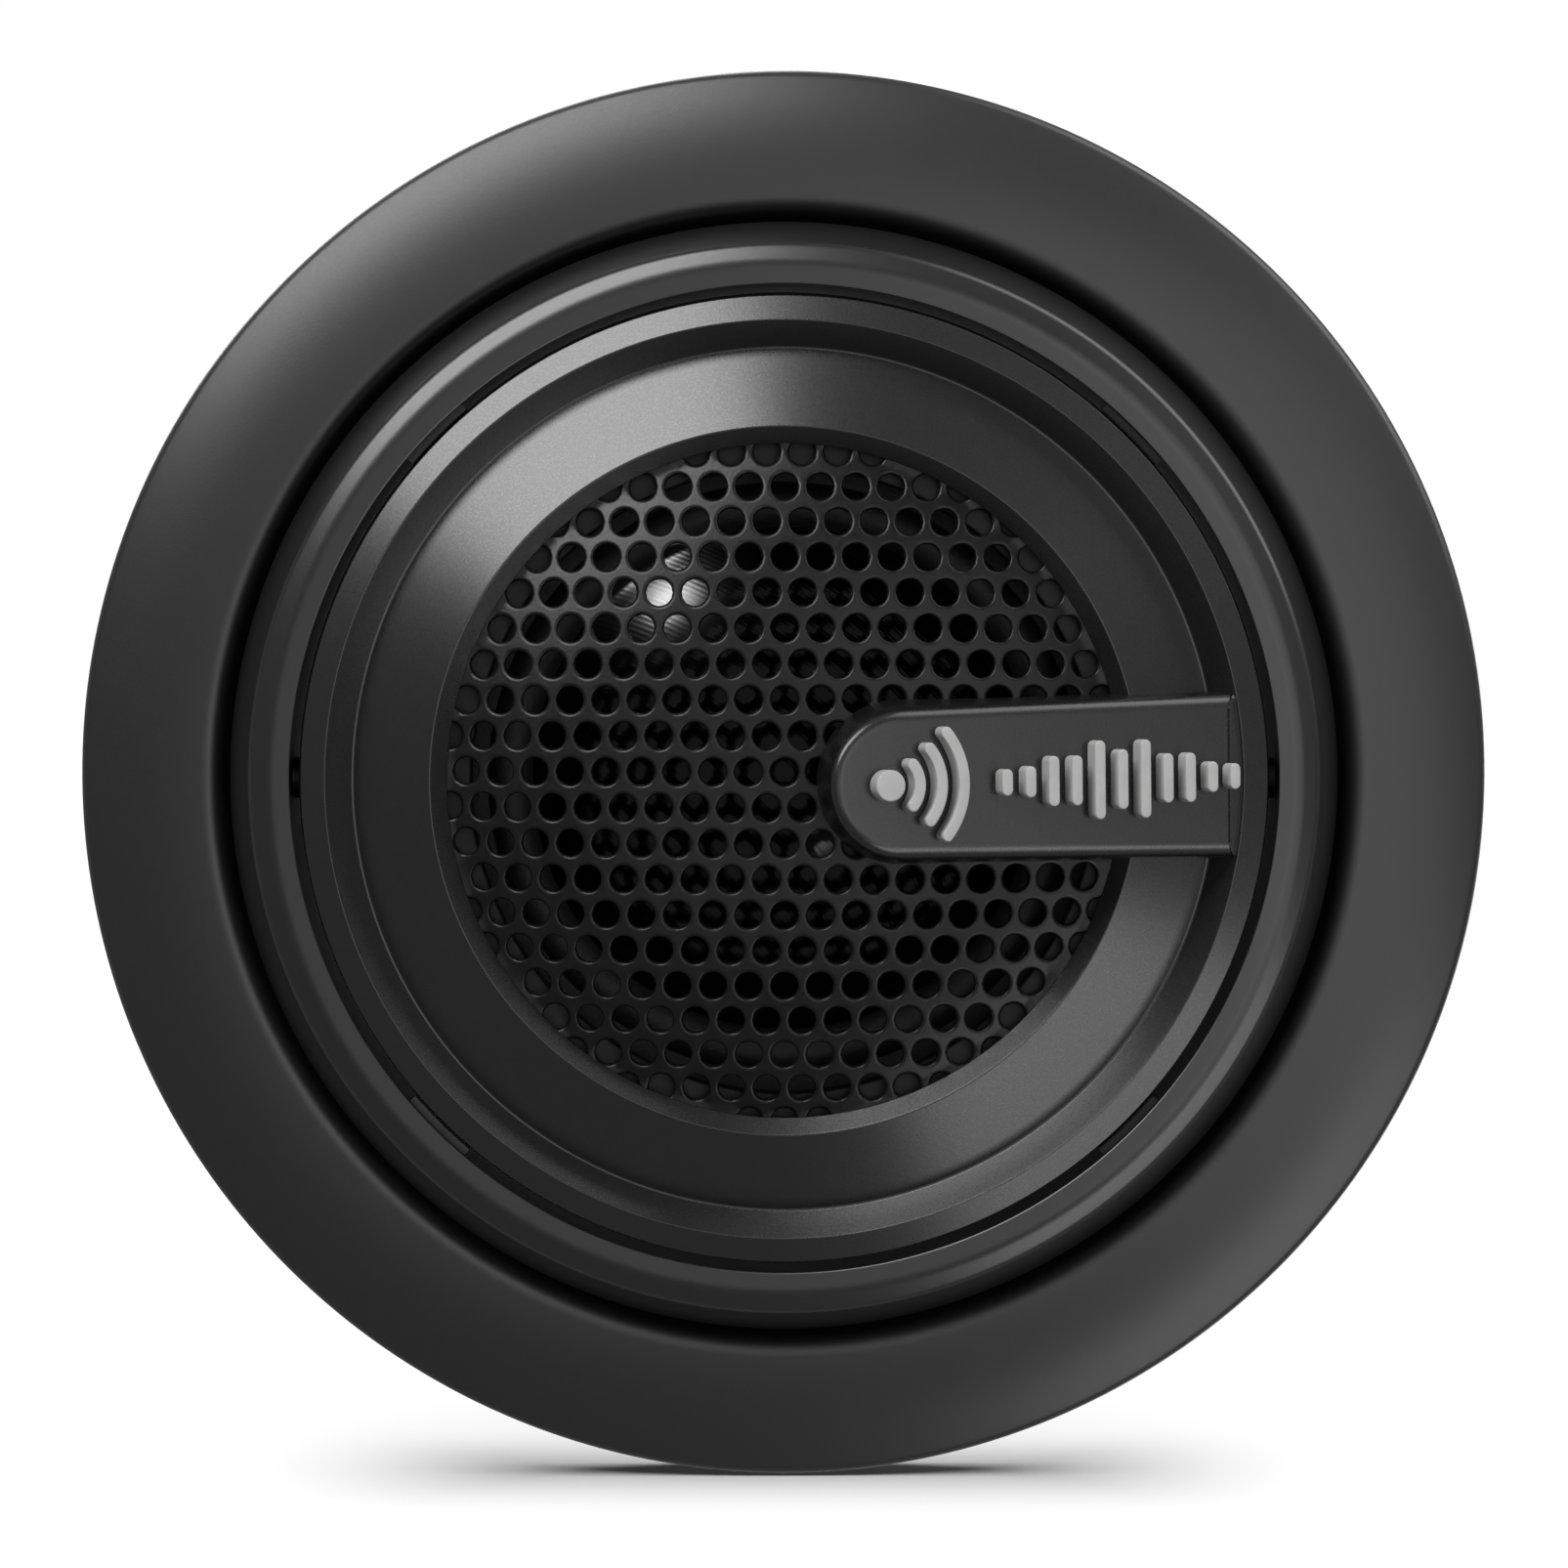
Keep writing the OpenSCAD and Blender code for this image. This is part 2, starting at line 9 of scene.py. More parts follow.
import bmesh
import bpy
from mathutils import Matrix, Vector
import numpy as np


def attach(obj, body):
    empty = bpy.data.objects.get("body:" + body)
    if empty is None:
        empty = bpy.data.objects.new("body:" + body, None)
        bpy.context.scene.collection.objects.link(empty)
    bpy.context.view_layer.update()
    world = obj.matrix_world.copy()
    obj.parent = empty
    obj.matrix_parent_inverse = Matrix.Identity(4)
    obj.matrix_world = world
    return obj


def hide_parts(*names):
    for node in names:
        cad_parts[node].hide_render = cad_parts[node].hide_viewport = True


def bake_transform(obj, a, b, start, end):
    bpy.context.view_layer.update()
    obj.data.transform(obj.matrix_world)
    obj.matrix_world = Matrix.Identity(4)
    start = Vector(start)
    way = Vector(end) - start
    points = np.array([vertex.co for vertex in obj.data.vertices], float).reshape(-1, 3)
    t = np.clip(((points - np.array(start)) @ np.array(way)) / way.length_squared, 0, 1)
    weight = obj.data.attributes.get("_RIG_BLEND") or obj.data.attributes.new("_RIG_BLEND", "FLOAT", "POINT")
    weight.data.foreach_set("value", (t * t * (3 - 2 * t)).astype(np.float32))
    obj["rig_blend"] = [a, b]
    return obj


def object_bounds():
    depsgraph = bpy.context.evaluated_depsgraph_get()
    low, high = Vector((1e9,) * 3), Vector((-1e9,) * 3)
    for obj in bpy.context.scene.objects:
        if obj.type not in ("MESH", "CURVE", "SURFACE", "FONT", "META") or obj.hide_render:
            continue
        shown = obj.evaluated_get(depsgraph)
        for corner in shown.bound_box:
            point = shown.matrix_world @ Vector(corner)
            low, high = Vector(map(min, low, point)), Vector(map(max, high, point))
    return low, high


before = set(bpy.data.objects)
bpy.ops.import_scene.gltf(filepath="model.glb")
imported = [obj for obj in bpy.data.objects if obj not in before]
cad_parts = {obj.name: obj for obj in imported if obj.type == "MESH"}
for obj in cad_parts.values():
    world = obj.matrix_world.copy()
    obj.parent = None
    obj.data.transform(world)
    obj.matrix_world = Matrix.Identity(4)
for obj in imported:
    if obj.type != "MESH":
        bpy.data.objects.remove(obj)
CAD_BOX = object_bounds()

MM = 0.001
FACING = Matrix(((MM, 0, 0, 0), (0, 0, -MM, 0), (0, MM, 0, 0), (0, 0, 0, 1)))

# ---------------------------------------------------------------- sizes shared by several pieces

FLANGE_R = 27.0
BALL_H = 1.0
BALL_R = 18.4
SOCKET_R = 18.79
SOCKET_TOP_H = 5.19
BORE_R = 20.0
THREAD_R = 22.0
THREAD_ROOT_R = 21.5
THREAD_PITCH = 1.5
NECK_R = 22.5
NECK_END_H = -11.0
SHOULDER_H = -2.0
KEY_W = 3.0
KEY_FLOOR_R = 21.3
WASHER_BACK_H = -4.0

OUTER_CREST = (16.95, 5.7)
VALLEY = (16.03, 4.85)
INNER_CREST = (13.01, 6.3)
GRILLE_EDGE = (12.43, 5.8)
SHEET_POCKET_R = 13.5
GRILLE_SEAT_H = 5.75
GRILLE_TOP_H = 7.9
GRILLE_T = 0.5
GRILLE_DOME_R = 12.2
GRILLE_RISE = GRILLE_TOP_H - GRILLE_SEAT_H
GRILLE_POWER = 2.7

BAR_W = 6.14
BAR_START = 1.07
BAR_END_H = 5.8
BAR_DRAFT = math.tan(math.radians(6.5))
BAR_FOOT_H = 5.4
BAR_FOOT_SLOPE = 0.145
BAR_TILT = math.radians(21)
BAR_TURN = Matrix.Rotation(math.radians(0.8), 4, "Z")
BAR_LENGTH = (OUTER_CREST[0] - BAR_START) / math.cos(BAR_TILT)
ON_BAR = (
    FACING
    @ BAR_TURN
    @ Matrix.Translation((OUTER_CREST[0], 0, BAR_END_H))
    @ Matrix.Rotation(BAR_TILT, 4, "Y")
    @ Matrix.Translation((-BAR_LENGTH, 0, 0))
)


def front_height(r):
    """Height of the grille and the face ring at a radius."""
    if r < GRILLE_EDGE[0]:
        return GRILLE_TOP_H - GRILLE_RISE * (min(r, GRILLE_DOME_R) / GRILLE_DOME_R) ** GRILLE_POWER
    knots = [GRILLE_EDGE, INNER_CREST, VALLEY, OUTER_CREST]
    for (r0, h0), (r1, h1) in zip(knots, knots[1:]):
        if r <= r1:
            return h0 + (h1 - h0) * (r - r0) / (r1 - r0)
    return OUTER_CREST[1]


# ---------------------------------------------------------------- mesh helpers

FILLET_STEP = 9
WELD = 2e-7


def arc(centre, radius, start, end, steps):
    """Points on a circle between two angles in degrees."""
    angles = [math.radians(start + (end - start) * i / steps) for i in range(steps + 1)]
    return [(centre[0] + radius * math.cos(a), centre[1] + radius * math.sin(a)) for a in angles]


def rounded(corners):
    """A closed outline from [x, y, fillet radius] corners, with a guard point beside each fillet."""
    outline = []
    for i, (x, y, radius) in enumerate(corners):
        corner = Vector((x, y))
        if not radius:
            outline.append(tuple(corner))
            continue
        before = (Vector(corners[i - 1][:2]) - corner).normalized()
        after = (Vector(corners[(i + 1) % len(corners)][:2]) - corner).normalized()
        turn = math.pi - before.angle(after)
        reach = radius * math.tan(turn / 2)
        centre = corner + (before + after).normalized() * radius / math.cos(turn / 2)
        first, last = corner + before * reach - centre, corner + after * reach - centre
        start = math.atan2(first.y, first.x)
        sweep = math.remainder(math.atan2(last.y, last.x) - start, 2 * math.pi)
        steps = max(3, round(math.degrees(turn) / FILLET_STEP))
        guard = reach + 0.2 * radius
        outline.append(tuple(corner + before * guard))
        for k in range(steps + 1):
            a = start + sweep * k / steps
            outline.append((centre.x + radius * math.cos(a), centre.y + radius * math.sin(a)))
        outline.append(tuple(corner + after * guard))
    return outline


def even(steps, start=0.0, end=360.0):
    """Evenly spaced angles; the last one is left out of a full turn."""
    count = steps if end - start == 360 else steps + 1
    return [start + (end - start) * i / steps for i in range(count)]


def on_circle(r, angle, h, centre=(0.0, 0.0)):
    """The point in the shared frame at a radius, an angle in degrees and a height."""
    a = math.radians(angle)
    return FACING @ Vector((centre[0] + r * math.cos(a), centre[1] + r * math.sin(a), h))


def lathe(bm, section, angles, centre=(0.0, 0.0), closed=True):
    """A section turned about an axis, all the way round or, if not closed, with its ends capped.

    section may be a function of the angle in degrees.
    """
    rows = []
    for angle in angles:
        outline = section(angle) if callable(section) else section
        rows.append([bm.verts.new(on_circle(r, angle, h, centre)) for r, h in outline])
    steps = len(rows) if closed else len(rows) - 1
    for i in range(steps):
        one, two = rows[i], rows[(i + 1) % len(rows)]
        for j in range(len(one)):
            k = (j + 1) % len(one)
            bm.faces.new((one[j], one[k], two[k], two[j]))
    if not closed:
        bm.faces.new(rows[0])
        bm.faces.new(list(reversed(rows[-1])))
    return bm


def loft(bm, rings):
    """Joins closed rings of points, each the same length, in order."""
    made = [[bm.verts.new(p) for p in ring] for ring in rings]
    for one, two in zip(made, made[1:]):
        for j in range(len(one)):
            k = (j + 1) % len(one)
            bm.faces.new((one[j], one[k], two[k], two[j]))
    return made


def plate(outlines, low, high, bevel, matrix=FACING):
    """A flat plate with holes and rounded edges, drawn with a filled curve."""
    curve = bpy.data.curves.new("outline", "CURVE")
    curve.dimensions = "2D"
    curve.fill_mode = "BOTH"
    curve.extrude = (high - low) / 2 - bevel
    curve.bevel_depth = bevel
    curve.bevel_resolution = 3
    curve.offset = -bevel
    for outline in outlines:
        spline = curve.splines.new("POLY")
        spline.points.add(len(outline) - 1)
        for point, (x, y) in zip(spline.points, outline):
            point.co = (x, y, 0, 1)
        spline.use_cyclic_u = True
    drawn = bpy.data.objects.new("outline", curve)
    bpy.context.scene.collection.objects.link(drawn)
    graph = bpy.context.evaluated_depsgraph_get()
    mesh = bpy.data.meshes.new_from_object(drawn.evaluated_get(graph))
    mesh.transform(matrix @ Matrix.Translation((0, 0, (low + high) / 2)))
    bpy.data.objects.remove(drawn)
    bpy.data.curves.remove(curve)
    bm = bmesh.new()
    bm.from_mesh(mesh)
    bpy.data.meshes.remove(mesh)
    return bm


def merge(target, other):
    """Adds one bmesh to another."""
    mesh = bpy.data.meshes.new("part")
    other.to_mesh(mesh)
    other.free()
    target.from_mesh(mesh)
    bpy.data.meshes.remove(mesh)
    return target


def piece(name, bm, body, nodes, material, sharp=38):
    """Turns a bmesh into a piece that stands for CAD nodes, and rides on a body if one is given."""
    bmesh.ops.remove_doubles(bm, verts=bm.verts, dist=WELD)
    bmesh.ops.dissolve_degenerate(bm, edges=bm.edges, dist=WELD)
    bmesh.ops.recalc_face_normals(bm, faces=bm.faces)
    mesh = bpy.data.meshes.new(name)
    bm.to_mesh(mesh)
    bm.free()
    mesh.shade_smooth()
    mesh.set_sharp_from_angle(angle=math.radians(sharp))
    mesh.materials.append(material)
    made = bpy.data.objects.new(name, mesh)
    bpy.context.scene.collection.objects.link(made)
    if body:
        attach(made, body)
    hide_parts(*nodes)
    return made


def circle_points(radius, steps, centre=(0.0, 0.0)):
    """A full circle without its repeated last point."""
    return arc(centre, radius, 0, 360 - 360 / steps, steps - 1)


# ---------------------------------------------------------------- materials


class Look:
    """A node material with a few short ways to add texture."""

    def __init__(self, name, roughness, metallic=0.0, specular=0.5):
        self.material = bpy.data.materials.new(name)
        self.material.use_nodes = True
        self.tree = self.material.node_tree
        self.shader = self.tree.nodes["Principled BSDF"]
        self.shader.inputs["Roughness"].default_value = roughness
        self.shader.inputs["Metallic"].default_value = metallic
        self.shader.inputs["Specular IOR Level"].default_value = specular
        self.place = self.tree.nodes.new("ShaderNodeTexCoord").outputs["Object"]

    def node(self, kind, **inputs):
        """A node with its inputs set or linked; an underscore stands for a space."""
        made = self.tree.nodes.new(kind)
        for name, value in inputs.items():
            socket = made.inputs[name.replace("_", " ")]
            if isinstance(value, bpy.types.NodeSocket):
                self.tree.links.new(value, socket)
            else:
                socket.default_value = value
        return made

    def stretched(self, scale):
        """Object coordinates scaled along each axis, for drawn marks."""
        return self.node("ShaderNodeMapping", Vector=self.place, Scale=scale).outputs["Vector"]

    def noise(self, size_mm, detail=3.0, vector=None):
        """Noise with features of about this size."""
        return self.node(
            "ShaderNodeTexNoise", Vector=vector or self.place, Scale=1 / (size_mm * MM), Detail=detail
        ).outputs["Fac"]

    def cells(self, size_mm):
        """Rounded cells of about this size."""
        return self.node(
            "ShaderNodeTexVoronoi", Vector=self.place, Scale=1 / (size_mm * MM)
        ).outputs["Distance"]

    def colour(self, factor, low, high, start=0.3, end=0.7):
        """Base colour that runs from low to high with a factor."""
        ramp = self.tree.nodes.new("ShaderNodeValToRGB")
        self.tree.links.new(factor, ramp.inputs["Fac"])
        for element, place, tint in zip(ramp.color_ramp.elements, (start, end), (low, high)):
            element.position = place
            element.color = (*tint, 1)
        self.tree.links.new(ramp.outputs["Color"], self.shader.inputs["Base Color"])
        return self

    def roughness(self, factor, low, high):
        """Roughness that runs from low to high with a factor."""
        ranged = self.node(
            "ShaderNodeMapRange", Value=factor, From_Min=0.3, From_Max=0.7, To_Min=low, To_Max=high
        )
        self.tree.links.new(ranged.outputs["Result"], self.shader.inputs["Roughness"])
        return self

    def bump(self, height, depth_mm):
        """Adds relief of a given depth on top of any the look already has."""
        made = self.node("ShaderNodeBump", Height=height, Strength=1.0, Distance=depth_mm * MM)
        previous = self.shader.inputs["Normal"]
        if previous.is_linked:
            self.tree.links.new(previous.links[0].from_socket, made.inputs["Normal"])
        self.tree.links.new(made.outputs["Normal"], previous)
        return self


def grey(value, tint=(1.0, 1.0, 1.0)):
    """A grey, leaned towards a tint."""
    return tuple(value * t for t in tint)


def moulded(name, value, roughness, grain_mm=0.09, depth_mm=0.0025, specular=0.5):
    """Moulded plastic: fine spark texture, faint mottling, uneven gloss."""
    look = Look(name, roughness, specular=specular)
    grain = look.noise(grain_mm, 4.0)
    mottling = 0.12
    low, high = grey(value * (1 - mottling)), grey(value * (1 + mottling), (1, 1, 1.02))
    look.colour(look.noise(0.5, 5.0), low, high)
    look.roughness(grain, roughness - 0.02, roughness + 0.02)
    look.bump(grain, depth_mm)
    return look.material


def metal(name, low, high, roughness, stretch=None):
    """Bare or plated metal with drawn or turned marks."""
    look = Look(name, roughness, metallic=1.0)
    vector = look.stretched(stretch) if stretch else None
    marks = look.noise(0.12, 5.0, vector)
    look.colour(look.noise(1.2, 4.0, vector), low, high)
    look.roughness(marks, roughness - 0.07, roughness + 0.1)
    look.bump(marks, 0.003)
    return look.material


def soft(name, low, high, roughness, cell_mm, depth_mm, sheen=0.0):
    """Foam, rubber or felt: cells or fibres."""
    look = Look(name, roughness)
    look.shader.inputs["Sheen Weight"].default_value = sheen
    cell = look.cells(cell_mm)
    look.colour(look.noise(cell_mm * 4, 4.0), low, high)
    look.bump(cell, depth_mm)
    look.bump(look.noise(cell_mm * 2, 4.0), depth_mm)
    return look.material


FLANGE_LOOK = moulded("flange_plastic", 0.005, 0.38)
COLLAR_LOOK = moulded("collar_plastic", 0.005, 0.30)
FACE_LOOK = moulded("face_plastic", 0.005, 0.28, depth_mm=0.0015)
SOCKET_LOOK = moulded("socket_matte", 0.006, 0.85, grain_mm=0.2, depth_mm=0.01, specular=0.1)
SHELL_LOOK = moulded("shell_plastic", 0.010, 0.6, grain_mm=0.16, depth_mm=0.008, specular=0.3)
COVER_LOOK = moulded("cover_plastic", 0.016, 0.45, grain_mm=0.16, depth_mm=0.008)
NUT_LOOK = moulded("nut_plastic", 0.014, 0.42, grain_mm=0.12, depth_mm=0.004)
FRAME_LOOK = moulded("frame_plastic", 0.007, 0.6, grain_mm=0.14, depth_mm=0.006, specular=0.3)
BAR_LOOK = moulded("bar_plastic", 0.005, 0.28, depth_mm=0.0015)
PAD_LOOK = moulded("pad_plastic", 0.004, 0.25, depth_mm=0.0005, specular=0.2)


def coated_grille():
    """Powder coat: orange peel over satin black."""
    look = Look("grille_metal", 0.32, specular=0.2)
    look.colour(look.noise(0.5, 4.0), grey(0.002), grey(0.004))
    look.roughness(look.noise(0.25, 3.0), 0.28, 0.36)
    look.bump(look.noise(0.12, 3.0), 0.006)
    return look.material


def painted_mark():
    """Light-grey paint with a slightly uneven film."""
    look = Look("mark_paint", 0.42)
    look.colour(look.noise(0.6, 4.0), grey(0.35), grey(0.39, (1, 1, 0.99)))
    look.roughness(look.noise(0.3, 3.0), 0.38, 0.48)
    look.bump(look.noise(0.08, 3.0), 0.003)
    return look.material


def dome_cloth():
    """Dome cloth: a fine weave with a glossy finish."""
    look = Look("dome_fabric", 0.12, specular=0.25)
    weave = look.node("ShaderNodeTexWave", Vector=look.place, Scale=1 / (0.5 * MM))
    weave.bands_direction = "DIAGONAL"
    look.colour(look.noise(0.5, 4.0), grey(0.003), grey(0.006))
    look.bump(weave.outputs["Fac"], 0.001)
    return look.material


def winding():
    """Turns of enamelled wire, stacked along the coil's axis, with painted shade in the grooves between
    turns and a painted highlight on their crests.
    """
    look = Look("coil_copper", 0.28, metallic=1.0)
    turns = look.node("ShaderNodeTexWave", Vector=look.place, Scale=1 / (0.32 * MM))
    turns.bands_direction = "Y"
    # Painted shade and highlight: the copper runs dark in each groove and light on each crest, following the
    # same wave as the bump.
    look.colour(turns.outputs["Fac"], (0.28, 0.09, 0.035), (0.72, 0.30, 0.12), 0.1, 0.9)
    look.bump(turns.outputs["Fac"], 0.03)
    return look.material


def laminate():
    """Green glass-fibre board."""
    look = Look("board_laminate", 0.38, specular=0.4)
    look.colour(look.cells(0.35), (0.012, 0.05, 0.018), (0.02, 0.085, 0.03))
    look.bump(look.cells(0.3), 0.006)
    return look.material


GRILLE_LOOK = coated_grille()
MARK_LOOK = painted_mark()
DOME_LOOK = dome_cloth()
COPPER_LOOK = winding()
BOARD_LOOK = laminate()
GASKET_LOOK = soft("gasket_foam", grey(0.012), grey(0.022), 0.85, 0.22, 0.05)
SURROUND_LOOK = soft("surround_rubber", grey(0.006), grey(0.010), 0.6, 0.15, 0.01)
GLAND_LOOK = soft("gland_rubber", grey(0.012), grey(0.020), 0.55, 0.3, 0.008)
FELT_LOOK = soft("felt", (0.02, 0.019, 0.018), (0.04, 0.038, 0.036), 0.95, 0.12, 0.06, sheen=0.2)
SLEEVE_LOOK = soft("wire_sleeve", (0.22, 0.012, 0.010), (0.30, 0.020, 0.016), 0.4, 0.4, 0.004)
WASHER_LOOK = metal("washer_steel", (0.50, 0.51, 0.50), (0.64, 0.64, 0.61), 0.32)
SPRING_LOOK = metal("spring_steel", (0.12, 0.12, 0.14), (0.20, 0.19, 0.20), 0.34)
PIN_LOOK = metal("pin_steel", (0.05, 0.05, 0.055), (0.09, 0.09, 0.095), 0.45, (0.1, 1, 1))
MOTOR_LOOK = metal("motor_steel", (0.40, 0.40, 0.41), (0.52, 0.52, 0.52), 0.36)
MAGNET_LOOK = metal("magnet_nickel", (0.58, 0.56, 0.52), (0.66, 0.64, 0.60), 0.16)
SCREW_LOOK = metal("screw_steel", (0.10, 0.10, 0.105), (0.16, 0.16, 0.165), 0.36)
BRASS_LOOK = metal("terminal_brass", (0.60, 0.45, 0.20), (0.74, 0.58, 0.30), 0.30, (1, 0.15, 1))
TINSEL_LOOK = metal("tinsel_copper", (0.55, 0.30, 0.12), (0.78, 0.48, 0.22), 0.34, (1, 1, 4))
FILM_LOOK = moulded("former_film", 0.20, 0.2)

# ---------------------------------------------------------------- flange and its clamp

ROUND = even(288)

KEY_HALF_ANGLE = math.degrees(math.asin(KEY_W / 2 / THREAD_R))
KEY_WALL_SHARE = 0.995


def key_angles():
    """Angles for a full turn, with both sides of each wall of the two keyways."""
    edges = [
        side + sign * KEY_HALF_ANGLE * share
        for side in (0, 180)
        for sign in (-1, 1)
        for share in (1, KEY_WALL_SHARE)
    ]
    return sorted({round(a % 360, 5) for a in ROUND + edges})


def in_keyway(angle):
    """Whether an angle lies between a keyway's walls."""
    return abs(math.remainder(angle, 180)) < KEY_HALF_ANGLE * (1 + KEY_WALL_SHARE) / 2


def flange_section(angle):
    """Crowned flange, recessed for the collar's lip and the gasket, and a neck with a stepped bore."""
    crown_h, crown_r, crown_curve, edge_curve, roll_curve = 2.5, 20.9, 15.0, 0.6, 0.7
    lip_r, gasket_r, gasket_h, step_h = 21.35, 26.4, 0.8, -6.0
    crown = (crown_r, crown_h - crown_curve)
    roll_r, edge_r = lip_r + roll_curve, FLANGE_R - edge_curve
    roll = (roll_r, crown[1] + math.sqrt((crown_curve - roll_curve) ** 2 - (crown_r - roll_r) ** 2))
    edge = (edge_r, crown[1] + math.sqrt((crown_curve - edge_curve) ** 2 - (edge_r - crown_r) ** 2))
    roll_end = math.degrees(math.atan2(roll[1] - crown[1], roll[0] - crown[0]))
    edge_start = math.degrees(math.atan2(edge[1] - crown[1], edge[0] - crown[0]))
    core = KEY_FLOOR_R if in_keyway(angle) else THREAD_ROOT_R
    return (
        [(BORE_R, step_h + 0.1), (BORE_R, 0.3), (lip_r - 0.1, 0.3), (lip_r - 0.03, 0.33)]
        + arc(roll, roll_curve, 180, roll_end, 14)
        + arc(crown, crown_curve, roll_end, edge_start, 36)[1:]
        + arc(edge, edge_curve, edge_start, 0, 14)[1:]
        + [(FLANGE_R, 0.12), (FLANGE_R - 0.12, 0), (gasket_r + 0.1, 0), (gasket_r, 0.1)]
        + [(gasket_r, gasket_h - 0.1), (gasket_r - 0.1, gasket_h), (NECK_R + 0.2, gasket_h), (NECK_R, 0.6)]
        + [(NECK_R, SHOULDER_H + 0.1), (NECK_R - 0.1, SHOULDER_H)]
        + [(core + 0.15, SHOULDER_H), (core, SHOULDER_H - 0.15)]
        + [(core, NECK_END_H + 0.3), (core - 0.3, NECK_END_H), (20.8, NECK_END_H), (20.6, -10.8)]
        + [(20.6, step_h), (BORE_R + 0.1, step_h)]
    )


def thread_ridge(bm, root_r, crest_r, root_w, crest_w, start_h, end_h, phase=0.0, gaps=True):
    """A helical ridge, sunk a little into its wall, which can break off at the keyways."""
    steps_a_turn, taper_steps, least = 120, 10, 0.04
    first = (start_h - phase) / THREAD_PITCH * 360
    last = (end_h - phase) / THREAD_PITCH * 360
    sink = math.copysign(0.08, root_r - crest_r)
    run = []
    count = int(abs(first - last) / 360 * steps_a_turn)
    for i in range(count + 1):
        angle = first + (last - first) * i / count
        taper = min(1.0, i / taper_steps, (count - i) / taper_steps)
        height = phase + THREAD_PITCH * angle / 360
        blocked = gaps and in_keyway(angle)
        if not blocked:
            crest = root_r + (crest_r - root_r) * (least + (1 - least) * taper)
            ring = [
                (root_r + sink, -root_w / 2),
                (root_r, -root_w / 2),
                (crest, -crest_w / 2),
                (crest, crest_w / 2),
                (root_r, root_w / 2),
                (root_r + sink, root_w / 2),
            ]
            run.append([on_circle(r, angle, height + d) for r, d in ring])
        if (blocked or i == count) and len(run) > 1:
            made = loft(bm, run)
            bm.faces.new(made[0])
            bm.faces.new(list(reversed(made[-1])))
        if blocked:
            run = []


flange_mesh = lathe(bmesh.new(), flange_section, key_angles())
thread_ridge(flange_mesh, THREAD_ROOT_R, THREAD_R, 1.0, 0.35, start_h=-2.75, end_h=-10.35)
piece("mounting_flange_body", flange_mesh, "flange", ["mounting_flange"], FLANGE_LOOK)

gasket = lathe(
    bmesh.new(),
    rounded([(23.5, 0, 0.15), (23.5, 0.78, 0.15), (26.2, 0.78, 0.15), (26.2, 0, 0.15)]),
    ROUND,
)
piece("panel_gasket_ring", gasket, "flange", ["panel_gasket"], GASKET_LOOK)


def washer_bore():
    """The washer's inner edge, with a tongue for each keyway."""
    tongue_r, inner_r, half = KEY_FLOOR_R + 0.2, THREAD_R + 0.3, KEY_W / 2 - 0.2
    lean, top = math.degrees(math.asin(half / inner_r)), math.degrees(math.asin(half / tongue_r))
    outline = []
    for side in (0, 180):
        outline += arc((0, 0), tongue_r, side - top, side + top, 6)
        outline += arc((0, 0), inner_r, side + lean, side + 180 - lean, 90)
    return outline


washer = plate([circle_points(26.0, 240), washer_bore()], WASHER_BACK_H, WASHER_BACK_H + 1.0, 0.12)
piece("clamp_washer_plate", washer, "washer", ["clamp_washer"], WASHER_LOOK)

NUT_BORE_R = 22.1
NUT_LIP_R = 26.0
NUT_FRONT_H = -4.05
NUT_LIP_H = -5.25
NUT_BACK_H = -8.05
GRIP_COUNT = 24
GRIP_SPACING = 360 // GRIP_COUNT


def nut_section(angle):
    """The nut's section at an angle: round grips stand on its body behind the lip."""
    body_r, grip_r = 24.4, 1.1
    from_grip = math.radians(math.remainder(angle, GRIP_SPACING))
    across, along = body_r * math.sin(from_grip), body_r * math.cos(from_grip)
    grip = along + math.sqrt(max(0.0, grip_r**2 - across**2)) if abs(across) < grip_r else body_r
    r = max(body_r, grip)
    return [
        (NUT_BORE_R + 0.25, NUT_FRONT_H), (NUT_LIP_R - 0.15, NUT_FRONT_H), (NUT_LIP_R, NUT_FRONT_H - 0.15),
        (NUT_LIP_R, NUT_LIP_H + 0.2), (NUT_LIP_R - 0.15, NUT_LIP_H + 0.05), (NUT_LIP_R - 0.5, NUT_LIP_H),
        (r, NUT_LIP_H), (r, NUT_BACK_H + 0.3), (r - 0.25, NUT_BACK_H + 0.05), (r - 0.4, NUT_BACK_H),
        (NUT_BORE_R + 0.3, NUT_BACK_H), (NUT_BORE_R, NUT_BACK_H + 0.3), (NUT_BORE_R, NUT_FRONT_H - 0.25),
    ]


# Angles from the middle of one grip down its side, along the flat, and up the side of the next grip.
grip_half = (0.5, 1.0, 1.5, 2.0, 2.3, 2.5, 2.585)
grip_offsets = (0, *grip_half, 3.4, 5.2, 7.4, 9.6, 11.6, *(GRIP_SPACING - a for a in reversed(grip_half)))
nut_angles = [GRIP_SPACING * i + a for i in range(GRIP_COUNT) for a in grip_offsets]
nut = lathe(bmesh.new(), nut_section, nut_angles)
thread_ridge(
    nut, NUT_BORE_R, 21.62, 0.9, 0.35, start_h=-4.6, end_h=-7.5, phase=THREAD_PITCH / 2, gaps=False
)
piece("ring_nut_body", nut, "nut", ["ring_nut"], NUT_LOOK)

# ---------------------------------------------------------------- collar


def ball_angle(radius, height):
    """Angle, seen from the ball's centre, of the point of a sphere at a height."""
    return math.degrees(math.asin((height - BALL_H) / radius))


COLLAR_R = 19.95
COLLAR_LIP_R = 21.0
COLLAR_LIP_H = 0.4
COLLAR_TOP_H = 5.25
COLLAR_BACK_H = -7.6
SNAP_GROOVE_R = 19.3
SNAP_GROOVE = (-6.85, -6.05)

